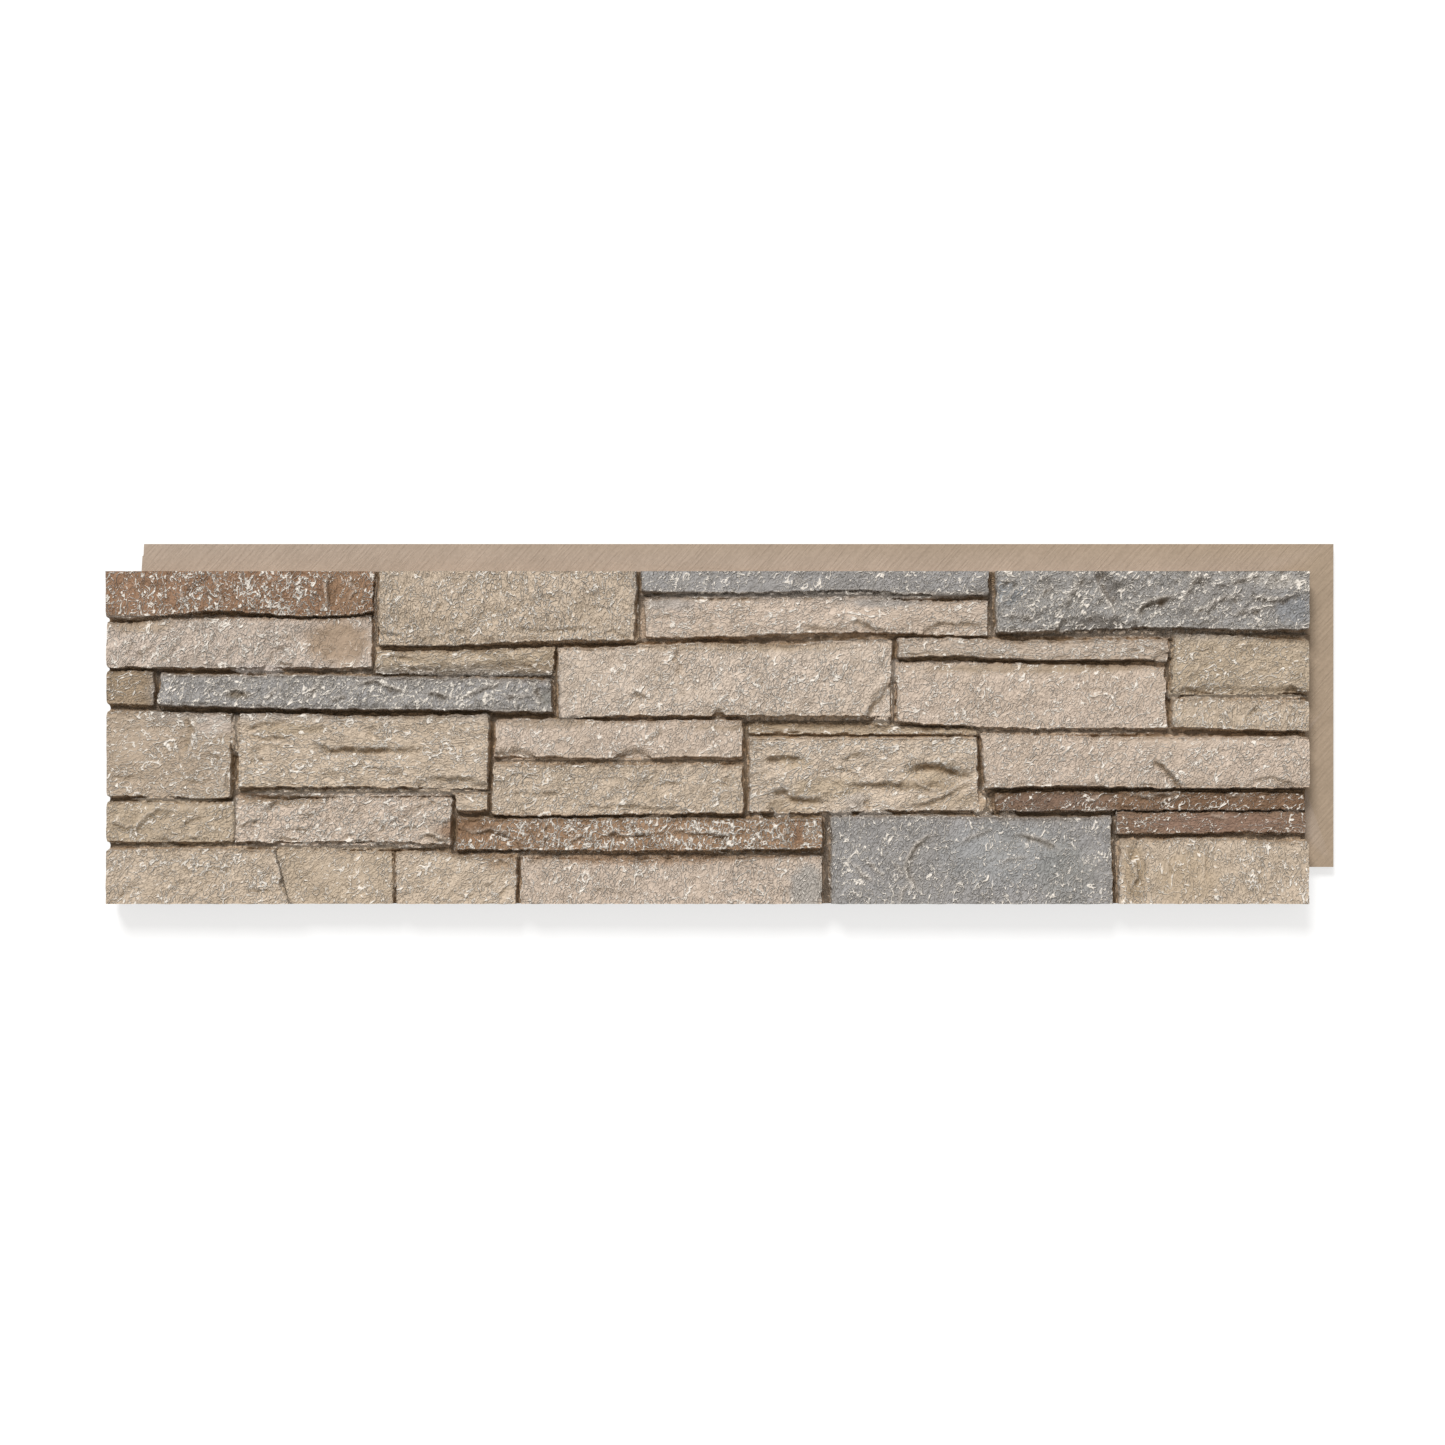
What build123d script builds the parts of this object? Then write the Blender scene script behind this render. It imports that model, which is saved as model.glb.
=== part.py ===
from build123d import *
from math import radians, tan
import os

# Faux stone wall panel, moulded in one piece from rigid foam. A flat plate carries a
# wider slab of stacked ledge stones. The plate sticks out at the top and at the right
# end as a flange, and the slab overhangs it at the bottom and at the left end, so that
# each panel laps over the flanges of the panels beside and below it.
# It lies on its back: X runs along the panel, Y up the wall and Z out of the wall.
# All sizes are in millimetres.

# The slab, as seen from the front
face_length = 1066.8
face_height = 295.3
joint_floor = 24.0          # height of the joints between the stones above the back

# The plate behind it, with its two flanges
plate_thickness = 10.0
top_flange = 25.4
right_flange = 26.0
left_lap = 26.5             # overhang of the slab past the plate at the left end
bottom_lap = 32.0           # the same at the bottom
lap_clearance = 1.0         # room for a neighbour's flange under the overhang
flange_end_lean = 1.5       # the top flange's left end leans in by this much

# The stones
stone_draft = 3.0           # degrees, so that the panel leaves its mould
tallest_rise = 14.0         # no stone rises more than this above the joint floor
common_rise = 9.0           # where most fronts lie, and where the outlines are true
margin = 8.0                # the cleft face is made this much larger than its stone

# The stones are drawn on a pattern of this length, height and depth. It is stretched to
# fill the face and to reach the tallest rise.
pattern = Vector(1066.8, 295.3, 18.0)
end = pattern.X
top_edge = pattern.Y


def along(x):
    """Where a place along the pattern comes on the face."""
    return x * face_length / pattern.X


def up(y):
    """Where a place up the pattern comes on the face."""
    return y * face_height / pattern.Y


def out(z):
    """What a rise in the pattern comes to on the stones."""
    return z * tallest_rise / pattern.Z


def long_edge(left, right, heights, inset, shift, z):
    """A stone's top or bottom edge: straight, or a smooth wave through even steps.
    It is drawn in by the inset at both ends and shifted up or down, within the face."""
    start = max(along(left) + inset, 0.0)
    step = (min(along(right) - inset, face_length) - start) / (len(heights) - 1)
    levels = [min(max(up(y) + shift, 0.0), face_height) for y in heights]
    points = [(start + i * step, level, z) for i, level in enumerate(levels)]
    return Line(*points) if len(points) == 2 else Spline(*points)


def stone_outline(left, right, bottom, top, inset, z):
    """A stone's outline, drawn in by the inset. Each side has an x at the bottom and one
    at the top."""
    with BuildLine() as outline:
        low = long_edge(left[0], right[0], bottom, inset, inset, z)
        high = long_edge(left[1], right[1], top, inset, -inset, z)
        Line(low @ 0, high @ 0)
        Line(low @ 1, high @ 1)
    return make_face(outline.line)


def cleft_face(box, rise):
    """The split face over a stone's box. Rows of rises run from bottom to top."""
    x_step = (box.size.X + 2 * margin) / (len(rise[0]) - 1)
    y_step = (box.size.Y + 2 * margin) / (len(rise) - 1)
    columns = [
        [
            (box.min.X - margin + i * x_step, box.min.Y - margin + j * y_step, out(row[i]))
            for j, row in enumerate(rise)
        ]
        for i in range(len(rise[0]))
    ]
    return Face.make_surface_from_array_of_points(columns)


def chip(corners, level, fall_x=0.0, fall_y=0.0):
    """What is knocked off a stone: all above a plane at this level, inside the corners.
    The plane climbs by fall_x and fall_y for each millimetre to the right and up."""
    shape = make_face(Polyline(*[(along(x), up(y)) for x, y in corners], close=True))
    middle = shape.center()
    slope = Plane(
        origin=(middle.X, middle.Y, out(level)), z_dir=(-fall_x, -fall_y, 1.0)
    )
    reach = shape.bounding_box().diagonal + tallest_rise
    above = slope * Box(
        2 * reach, 2 * reach, 2 * reach, align=(Align.CENTER, Align.CENTER, Align.MIN)
    )
    column = Pos(0, 0, -tallest_rise) * extrude(shape, 3 * tallest_rise)
    return column & above


def stone(left, right, bottom, top, rise, chips=()):
    """One stone, standing on the joint floor, which is at height zero here. Its outline
    is the drawn one at the edge of its front, and draft makes it wider at the foot."""
    slope = tan(radians(stone_draft))
    foot = stone_outline(left, right, bottom, top, -common_rise * slope, 0.0)
    crown_inset = (tallest_rise - common_rise) * slope
    crown = stone_outline(left, right, bottom, top, crown_inset, tallest_rise)
    column = loft([foot, crown], ruled=True)
    split = cleft_face(foot.bounding_box(), rise)
    body = column & Solid.extrude(split, (0, 0, -2 * tallest_rise))
    for piece in chips:
        body = body - piece
    return body.solids()[0]


def brown_cap_stones():
    """The brown stone in the upper left corner, and the beige one under it."""
    brown = stone(
        left=(0, 0),
        right=(237, 238),
        bottom=[254.5, 254.5, 259, 259, 256, 255.5, 259.5],
        top=[top_edge, top_edge],
        rise=[[12, 12.5, 13, 13, 12], [13, 14, 14, 14.5, 13]],
        chips=[chip([(197, 248), (198, 275), (196, 300), (245, 300), (245, 248)], 10.5)],
    )
    beige = stone(
        left=(0, 0),
        right=(235, 236),
        bottom=[210, 210, 209.5, 209.5, 210, 209.5, 210.5],
        top=[250, 252, 254, 253, 256],
        rise=[[10, 11.5, 11.5, 11.5, 10], [10, 11.5, 11.5, 11, 10], [8, 9.5, 9.5, 9, 8]],
        chips=[
            chip([(-5, 256), (53, 256), (50, 250), (32, 245), (15, 234), (-5, 231)], 6.5),
            chip(
                [(162, 258), (163, 234), (146, 223), (139, 206), (240, 206), (240, 258)],
                8.0,
            ),
        ],
    )
    return [brown, beige]


def upper_middle_stones():
    """The big block at the top, and the layered stone under it."""
    block = stone(
        left=(242, 242.5),
        right=(468.5, 470.5),
        bottom=[229.5, 229, 232, 234, 234],
        top=[top_edge, top_edge],
        rise=[[12, 13, 13, 12.5], [15, 15, 14.5, 14], [15, 15.5, 15, 15]],
        chips=[
            chip(
                [
                    (238, 240),
                    (272, 231),
                    (290, 240.5),
                    (323, 244),
                    (451, 245.5),
                    (475, 241),
                    (475, 225),
                    (238, 222),
                ],
                13.0,
                fall_y=0.16,
            )
        ],
    )
    layered = stone(
        left=(238.5, 240),
        right=(396.5, 397.5),
        bottom=[205, 203, 202.5],
        top=[224.5, 225, 228],
        rise=[[8, 9, 9.5], [9, 9.5, 9.5]],
        chips=[
            chip(
                [
                    (234, 209.5),
                    (323, 210),
                    (332, 213),
                    (367, 217),
                    (402, 220.5),
                    (402, 198),
                    (234, 198),
                ],
                4.5,
                fall_y=0.25,
            )
        ],
    )
    return [block, layered]


def thin_blue_stones():
    """The thin blue stone at the top, and the beige one under it."""
    blue = stone(
        left=(475, 474.5),
        right=(782, 783),
        bottom=[277.5, 276.5, 277, 278.5, 274.5, 274],
        top=[top_edge, top_edge],
        rise=[[13, 13.5, 13, 13.5], [13, 13.5, 14, 14]],
    )
    beige = stone(
        left=(479, 478),
        right=(781.5, 782),
        bottom=[237, 237, 239.5, 241, 239.5, 238],
        top=[272, 272, 272.5, 269.5, 269.5],
        rise=[[11, 12, 12, 11], [11, 11.5, 11.5, 11], [9, 9.5, 9, 9]],
        chips=[
            chip([(470, 268), (600, 269), (645, 271.5), (645, 280), (470, 280)], 6.0),
            chip(
                [(720, 234), (726, 243), (739, 249), (788, 248), (788, 234)],
                7.5,
                fall_y=0.25,
            ),
            chip([(618, 246), (655, 252), (697, 240), (695, 234), (618, 234)], 9.5, fall_y=0.1),
        ],
    )
    return [blue, beige]


def slate_corner_stone():
    """The dark slate block in the upper right corner, split along a slanting valley."""
    block = stone(
        left=(790, 789),
        right=(end, end),
        bottom=[241, 242, 244.5, 245, 243.5, 244],
        top=[top_edge, top_edge],
        rise=[[13, 16, 13, 15, 15], [16, 17, 14, 16, 15], [15, 17.5, 15, 16.5, 16]],
        chips=[
            chip(
                [(877, 292), (882, 279), (909, 257), (925, 266), (896, 284), (888, 293)],
                12.0,
                fall_x=0.05,
            ),
            chip(
                [(836, 236), (847, 252), (868, 256.5), (898, 257), (914, 250), (916, 234)],
                9.0,
                fall_y=0.35,
            ),
            chip([(976, 282), (1000, 296), (960, 296), (955, 284)], 13.0, fall_x=-0.08),
        ],
    )
    return [block]


def centre_stones():
    """The large stone left of the centre, and the thin slivers under its right half."""
    large = stone(
        left=(402, 401),
        right=(695.5, 696.5),
        bottom=[162.5, 167, 167, 167.5, 167, 167, 166],
        top=[227, 228, 230, 231.5, 230, 233.5, 233.5],
        rise=[[13, 14, 15, 15, 14], [15, 15, 15, 15.5, 14], [16, 15.5, 15, 14.5, 13]],
        chips=[
            chip([(562, 237), (568, 227), (580, 224.5), (593, 225.5), (604, 237)], 9.0),
            chip([(700, 200), (679, 183), (674, 162), (702, 160)], 8.0, fall_x=-0.08),
            chip([(527, 163), (541, 171.5), (546, 171.5), (552, 163)], 6.0),
        ],
    )
    slivers = stone(
        left=(569.5, 570),
        right=(772, 770),
        bottom=[152, 151, 151.5],
        top=[159, 158.5, 155.5],
        rise=[[4, 4.5, 4], [4.5, 5, 4]],
    )
    return [large, slivers]


def right_ledge_stones():
    """The thin proud ledge, the stone sloping out from under it, and the end pair."""
    ledge = stone(
        left=(702, 702),
        right=(941, 942.5),
        bottom=[218, 220, 217.5, 216.5, 217, 215],
        top=[236, 235.5, 233.5, 234.5, 234.5],
        rise=[[14, 14.5, 14.5, 13], [13, 13.5, 13, 12]],
        chips=[chip([(925, 213), (931, 221), (947, 226), (947, 211)], 8.0)],
    )
    sloping = stone(
        left=(702, 701.5),
        right=(940.5, 939),
        bottom=[161.5, 158, 156, 156, 155.5],
        top=[215, 215, 213, 212.5, 210],
        rise=[[13, 13, 12.5, 12], [11, 11, 10.5, 10], [7, 7.5, 7, 6.5]],
    )
    end_block = stone(
        left=(943.5, 948),
        right=(end, end),
        bottom=[185, 187, 187, 187],
        top=[240, 238, 235.5, 234],
        rise=[[10, 11, 11, 12], [11, 12, 12, 13], [12, 12, 12, 12]],
        chips=[
            chip([(940, 190), (1050, 191), (1057, 188), (1072, 188), (1072, 182), (940, 182)], 7.0)
        ],
    )
    end_strip = stone(
        left=(945.5, 946.5),
        right=(end, end),
        bottom=[156.5, 155, 153.5],
        top=[182.5, 182, 180],
        rise=[[12, 13, 12.5], [11.5, 12.5, 12]],
    )
    return [ledge, sloping, end_block, end_strip]


def long_blue_stones():
    """The long proud blue stone at the left, and the small one in front of it."""
    small = stone(
        left=(0, 0),
        right=(42.5, 42.5),
        bottom=[177.5, 177.5],
        top=[206.5, 206.5],
        rise=[[8, 8.5], [9, 9]],
    )
    blue = stone(
        left=(46, 49),
        right=(395.5, 395),
        bottom=[176.5, 174, 172.5, 172.5, 171.5, 169.5],
        top=[205, 203, 203, 201, 200, 199],
        rise=[[16, 17, 16.5, 16, 15], [15, 16, 15.5, 15, 14], [13, 13.5, 13.5, 13, 12]],
        chips=[chip([(379, 190), (385, 179), (388, 168), (400, 168), (400, 191)], 11.0)],
    )
    return [small, blue]


def left_block_stones():
    """The split block at the left end, and the proud layered one beside it."""
    split = stone(
        left=(0, 0),
        right=(110, 112),
        bottom=[96, 96, 94.5, 94],
        top=[171, 170.5, 168.5],
        rise=[[9, 11.5, 13], [9, 11.5, 12.5], [9, 10, 11]],
        chips=[
            chip(
                [
                    (-5, 175),
                    (68, 175),
                    (79, 157),
                    (77, 141),
                    (68, 128),
                    (64, 114),
                    (57, 90),
                    (-5, 90),
                ],
                8.5,
                fall_x=0.01,
            )
        ],
    )
    layered = stone(
        left=(117.5, 119),
        right=(338.5, 340),
        bottom=[103.5, 104, 104, 103, 102.5],
        top=[169.5, 168.5, 166.5, 167, 168],
        rise=[[15, 16, 15.5, 15], [14, 14, 14, 14], [11, 11.5, 11, 12]],
        chips=[
            chip([(195, 140), (283, 138.5), (283, 130), (195, 131)], 12.7, fall_y=-0.25),
            chip([(120, 151), (165, 150), (165, 141), (120, 142)], 12.5, fall_y=-0.25),
            chip(
                [(278, 116), (323, 114), (343, 105), (343, 98), (278, 100)],
                11.0,
                fall_y=0.3,
            ),
        ],
    )
    return [split, layered]


def middle_pair_stones():
    """Two stones one above the other in the middle, with broken edges between them."""
    upper = stone(
        left=(345, 345.5),
        right=(564.5, 564.5),
        bottom=[130.5, 130.5, 129.5, 130, 130.5, 130.5],
        top=[163.5, 164, 162.5, 163, 163.5],
        rise=[[12, 12.5, 12, 12], [11.5, 12, 11.5, 11]],
        chips=[
            chip([(342, 126), (346, 135), (369, 136), (383, 130), (383, 126)], 6.0),
            chip([(442, 126), (456, 132.5), (467, 136), (478, 135), (490, 126)], 5.0),
        ],
    )
    lower = stone(
        left=(342, 343.5),
        right=(565, 564.5),
        bottom=[80, 78.5, 79.5, 80.5, 81],
        top=[123.5, 123.5],
        rise=[[10, 10.5, 11, 11], [12, 12, 12, 11.5]],
        chips=[chip([(548, 126), (569, 126), (569, 115), (559, 116.5)], 7.0)],
    )
    return [upper, lower]


def chiselled_stone():
    """The beige stone right of the centre, hollowed out by broad chisel blows."""
    block = stone(
        left=(570.5, 571),
        right=(773, 772.5),
        bottom=[82, 81.5, 83, 83.5, 83],
        top=[147.5, 147.5],
        rise=[
            [10, 7, 8, 9, 8],
            [12, 11, 8, 9, 10],
            [15, 14, 12, 14, 14],
            [15, 15, 15, 15, 15],
        ],
        chips=[
            chip(
                [(705, 119), (726, 126), (748, 122.5), (776, 113), (748, 102), (726, 103)],
                10.0,
                fall_y=-0.15,
            ),
            chip([(702, 87), (743, 98.5), (776, 111), (778, 78), (702, 78)], 6.5, fall_y=0.15),
            chip(
                [(587, 80), (596, 101.5), (606, 101.5), (616, 95), (642, 94), (646, 78)],
                5.5,
                fall_y=0.2,
            ),
            chip([(579, 125), (586, 132), (622, 133), (610, 121), (590, 116)], 12.0, fall_y=-0.1),
        ],
    )
    return [block]


def right_end_stones():
    """The long proud stone at the right end, over two thin brown ones."""
    proud = stone(
        left=(779.5, 776),
        right=(end, end),
        bottom=[102, 104.5, 104, 102.5, 103, 103],
        top=[152, 149, 148, 148.5, 148],
        rise=[[14, 15, 15, 15.5], [13.5, 14.5, 14.5, 15], [9, 9.5, 10, 12]],
        chips=[
            chip(
                [(926, 132), (938, 122.5), (947, 113), (956, 98), (880, 98), (895, 125)],
                13.2,
                fall_x=-0.09,
            ),
            chip(
                [(1004, 98), (1018, 111), (1036, 113.5), (1049, 108), (1056, 98)],
                12.3,
                fall_y=0.2,
            ),
        ],
    )
    brown_ledge = stone(
        left=(789, 789),
        right=(end - 3, end - 3),
        bottom=[83, 83, 83.5, 83],
        top=[98.5, 99.5, 99, 98.5],
        rise=[[9, 10, 10, 10], [8.5, 9.5, 9, 9]],
    )
    brown_strip = stone(
        left=(896.5, 896.5),
        right=(end - 2, end - 2),
        bottom=[62.5, 63, 64, 63],
        top=[81.5, 81.5, 82, 81.5],
        rise=[[8, 8, 7.5, 7.5], [7, 7, 6.5, 6.5]],
    )
    return [proud, brown_ledge, brown_strip]


def lower_left_stones():
    """Two rough stones at the left, the little filler, and the long brown stone."""
    rough_end = stone(
        left=(0, 0),
        right=(113, 113),
        bottom=[55.5, 55.5],
        top=[90.5, 90, 91],
        rise=[[10, 9.5, 9], [8, 9, 8]],
    )
    rough = stone(
        left=(115, 115),
        right=(305, 307),
        bottom=[54.5, 55.5, 55, 55.5, 54.5, 53],
        top=[94.5, 92, 94.5, 95, 94.5],
        rise=[[12, 13, 13, 13.5], [10, 10.5, 11, 11], [6, 5.5, 7, 8]],
    )
    filler = stone(
        left=(310.5, 310.5),
        right=(338, 338),
        bottom=[83, 83],
        top=[97.5, 97.5],
        rise=[[10, 10], [10, 10]],
    )
    brown = stone(
        left=(311, 312),
        right=(635, 635.5),
        bottom=[48.5, 48, 47.5, 47.5, 48.5, 50],
        top=[76, 75.5, 76, 76.5, 75, 76.5],
        rise=[[12.5, 13, 14, 14, 14], [14, 14, 14, 14, 14]],
        chips=[chip([(305, 67), (349, 64), (363, 58), (368, 44), (305, 42)], 10.0)],
    )
    return [rough_end, rough, filler, brown]


def bottom_stones():
    """The bottom course, whose stones are cut off straight at the panel's edge."""
    corner = stone(
        left=(0, 0),
        right=(164, 150.5),
        bottom=[0, 0],
        top=[48, 49, 49, 48],
        rise=[[11, 12, 12, 13], [12, 12, 12, 12.5]],
    )
    sunk = stone(
        left=(160, 147),
        right=(254, 254),
        bottom=[0, 0],
        top=[48.5, 48, 46.5],
        rise=[[8, 8.5], [8, 8.5]],
    )
    square = stone(
        left=(258, 257.5),
        right=(363.5, 364),
        bottom=[0, 0],
        top=[46.5, 45.5, 42, 42],
        rise=[[10, 10.5, 10], [10, 10, 10]],
    )
    pale = stone(
        left=(368, 368),
        right=(635, 635),
        bottom=[0, 0],
        top=[40, 39.5, 40, 42],
        rise=[[11, 12, 11], [9, 10, 9.5]],
    )
    blue = stone(
        left=(643.5, 643),
        right=(893, 890.5),
        bottom=[0, 0],
        top=[77, 78.5, 77.5, 76.5, 77.5],
        rise=[[13, 13.5, 13.5, 13], [13, 13, 13, 13], [12.5, 12.5, 12.5, 13]],
    )
    end_stone = stone(
        left=(898, 900),
        right=(end, end),
        bottom=[0, 0],
        top=[57, 57.5, 58, 55.5, 56],
        rise=[[10, 11, 11, 12], [10, 10.5, 11, 12]],
    )
    return [corner, sunk, square, pale, blue, end_stone]


def all_stones():
    """Every stone of the panel, from the top course to the bottom one."""
    return [
        *brown_cap_stones(),
        *upper_middle_stones(),
        *thin_blue_stones(),
        *slate_corner_stone(),
        *centre_stones(),
        *right_ledge_stones(),
        *long_blue_stones(),
        *left_block_stones(),
        *middle_pair_stones(),
        *chiselled_stone(),
        *right_end_stones(),
        *lower_left_stones(),
        *bottom_stones(),
    ]


def back_plate():
    """The plate with its flanges. It reaches up into the slab, where that covers it."""
    plate_right = face_length + right_flange
    plate_top = face_height + top_flange
    outline = Polyline(
        (left_lap, bottom_lap),
        (plate_right, bottom_lap),
        (plate_right, plate_top),
        (left_lap + flange_end_lean, plate_top),
        (left_lap, face_height),
        close=True,
    )
    plate = extrude(make_face(outline), plate_thickness)
    core = Box(
        face_length - left_lap,
        face_height - bottom_lap,
        joint_floor,
        align=(Align.MIN, Align.MIN, Align.MIN),
    )
    return plate + Pos(left_lap, bottom_lap, 0) * core


def slab():
    """The slab that carries the stones. Its underside clears a neighbour's flange."""
    underside = plate_thickness + lap_clearance
    block = Box(
        face_length,
        face_height,
        joint_floor - underside,
        align=(Align.MIN, Align.MIN, Align.MIN),
    )
    return Pos(0, 0, underside) * block


def stone_panel():
    """The whole panel as one solid, with the middle of its back at the origin."""
    carrier = back_plate() + slab()
    stones = [Pos(0, 0, joint_floor) * piece for piece in all_stones()]
    panel = carrier.fuse(*stones)
    total_length = face_length + right_flange
    total_height = face_height + top_flange
    return Pos(-total_length / 2, -total_height / 2, 0) * panel


os.makedirs("parts", exist_ok=True)
export_step(stone_panel(), "parts/stone_panel.step")
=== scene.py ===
import bpy
import numpy as np
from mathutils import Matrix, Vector
from mathutils.bvhtree import BVHTree


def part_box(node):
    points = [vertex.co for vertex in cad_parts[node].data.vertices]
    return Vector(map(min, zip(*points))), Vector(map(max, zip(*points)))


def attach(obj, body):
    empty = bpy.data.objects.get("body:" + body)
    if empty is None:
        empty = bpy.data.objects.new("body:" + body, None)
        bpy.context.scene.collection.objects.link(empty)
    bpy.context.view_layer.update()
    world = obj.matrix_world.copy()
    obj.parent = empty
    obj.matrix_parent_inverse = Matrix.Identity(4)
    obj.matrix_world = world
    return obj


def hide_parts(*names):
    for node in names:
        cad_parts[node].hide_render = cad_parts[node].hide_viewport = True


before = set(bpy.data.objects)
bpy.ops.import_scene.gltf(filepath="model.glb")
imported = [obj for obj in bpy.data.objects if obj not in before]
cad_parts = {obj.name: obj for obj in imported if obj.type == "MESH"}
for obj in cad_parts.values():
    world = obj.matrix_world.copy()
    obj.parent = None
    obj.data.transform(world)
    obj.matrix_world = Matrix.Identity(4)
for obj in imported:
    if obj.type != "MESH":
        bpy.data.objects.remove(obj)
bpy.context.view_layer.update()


# The panel: one casting of rigid foam, taken from a mould of real split stone.
# Its form is read off the solid as a map of heights. The map gets the broken edges and
# the cleft faces that the mould leaves, and is closed into one shell with a flat back.
# Places on the panel are in millimetres from the lower left corner of the stone face.
mm = 0.001
panel_low, panel_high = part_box("stone_panel")
top_flange = 25.4
right_flange = 26.0
left_lap = 26.5
bottom_lap = 32.0
lap_underside = 11.0
joint_floor = 24.0
full_length = (panel_high.x - panel_low.x) / mm
full_height = (panel_high.y - panel_low.y) / mm
face_length = full_length - right_flange
face_height = full_height - top_flange
highest_point = panel_high.z / mm

map_step = 0.9
wall_lean = 0.1
most_triangles = 196000


def map_lines(stops):
    """Even steps between stops, each of which keeps a line of its own."""
    lines = [stops[0]]
    for start, end in zip(stops, stops[1:]):
        count = max(1, round((end - start) / map_step))
        lines.extend(start + (end - start) * (k + 1) / count for k in range(count))
    return np.array(lines)


columns = map_lines([0, left_lap, face_length - wall_lean, face_length + wall_lean, full_length])
rows = map_lines([0, bottom_lap, face_height - wall_lean, face_height + wall_lean, full_height])
x, y = np.meshgrid(columns, rows, indexing="ij")


def cloud(u, v, size, seed, layers=1):
    """Smooth random waves of this size, from about -1 to 1, with finer layers on them."""
    total = np.zeros(np.broadcast(u, v).shape)
    for layer in range(layers):
        picks = np.random.default_rng(seed + layer)
        order = np.tile(picks.permutation(256), 3)
        angle = picks.uniform(0, 2 * np.pi, 256)
        s = u / size * 2**layer
        t = v / size * 2**layer
        s_cell = np.floor(s).astype(int)
        t_cell = np.floor(t).astype(int)
        s_part = s - s_cell
        t_part = t - t_cell
        s_ease = s_part**3 * (s_part * (s_part * 6 - 15) + 10)
        t_ease = t_part**3 * (t_part * (t_part * 6 - 15) + 10)

        def corner(i, j):
            pick = order[order[(s_cell + i) % 256] + (t_cell + j) % 256]
            return np.cos(angle[pick]) * (s_part - i) + np.sin(angle[pick]) * (t_part - j)

        near = corner(0, 0) * (1 - s_ease) + corner(1, 0) * s_ease
        far = corner(0, 1) * (1 - s_ease) + corner(1, 1) * s_ease
        total += (near * (1 - t_ease) + far * t_ease) * 1.5 / 2**layer
    return total


def ease(low, high, value):
    """From 0 at the low value to 1 at the high one, with soft ends."""
    t = np.clip((value - low) / (high - low), 0, 1)
    return t * t * (3 - 2 * t)


last_column = np.searchsorted(columns, face_length) - 1
last_row = np.searchsorted(rows, face_height) - 1


def blur(values, reach):
    """A soft average over this reach in millimetres, that keeps to the stone face."""
    across = np.minimum(np.arange(columns.size), last_column)
    upwards = np.minimum(np.arange(rows.size), last_row)
    values = values[across][:, upwards]
    for axis in (0, 1):
        for _ in range(2):
            values = average(values, max(1, round(reach / map_step / 2)), axis)
    return values


def average(values, cells, axis):
    """The plain average over this many cells each way along one axis."""
    values = np.moveaxis(values, axis, 0)
    padded = np.concatenate([values[:1].repeat(cells + 1, 0), values, values[-1:].repeat(cells, 0)])
    sums = np.cumsum(padded, 0)
    return np.moveaxis((sums[2 * cells + 1 :] - sums[: -2 * cells - 1]) / (2 * cells + 1), 0, axis)


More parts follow.
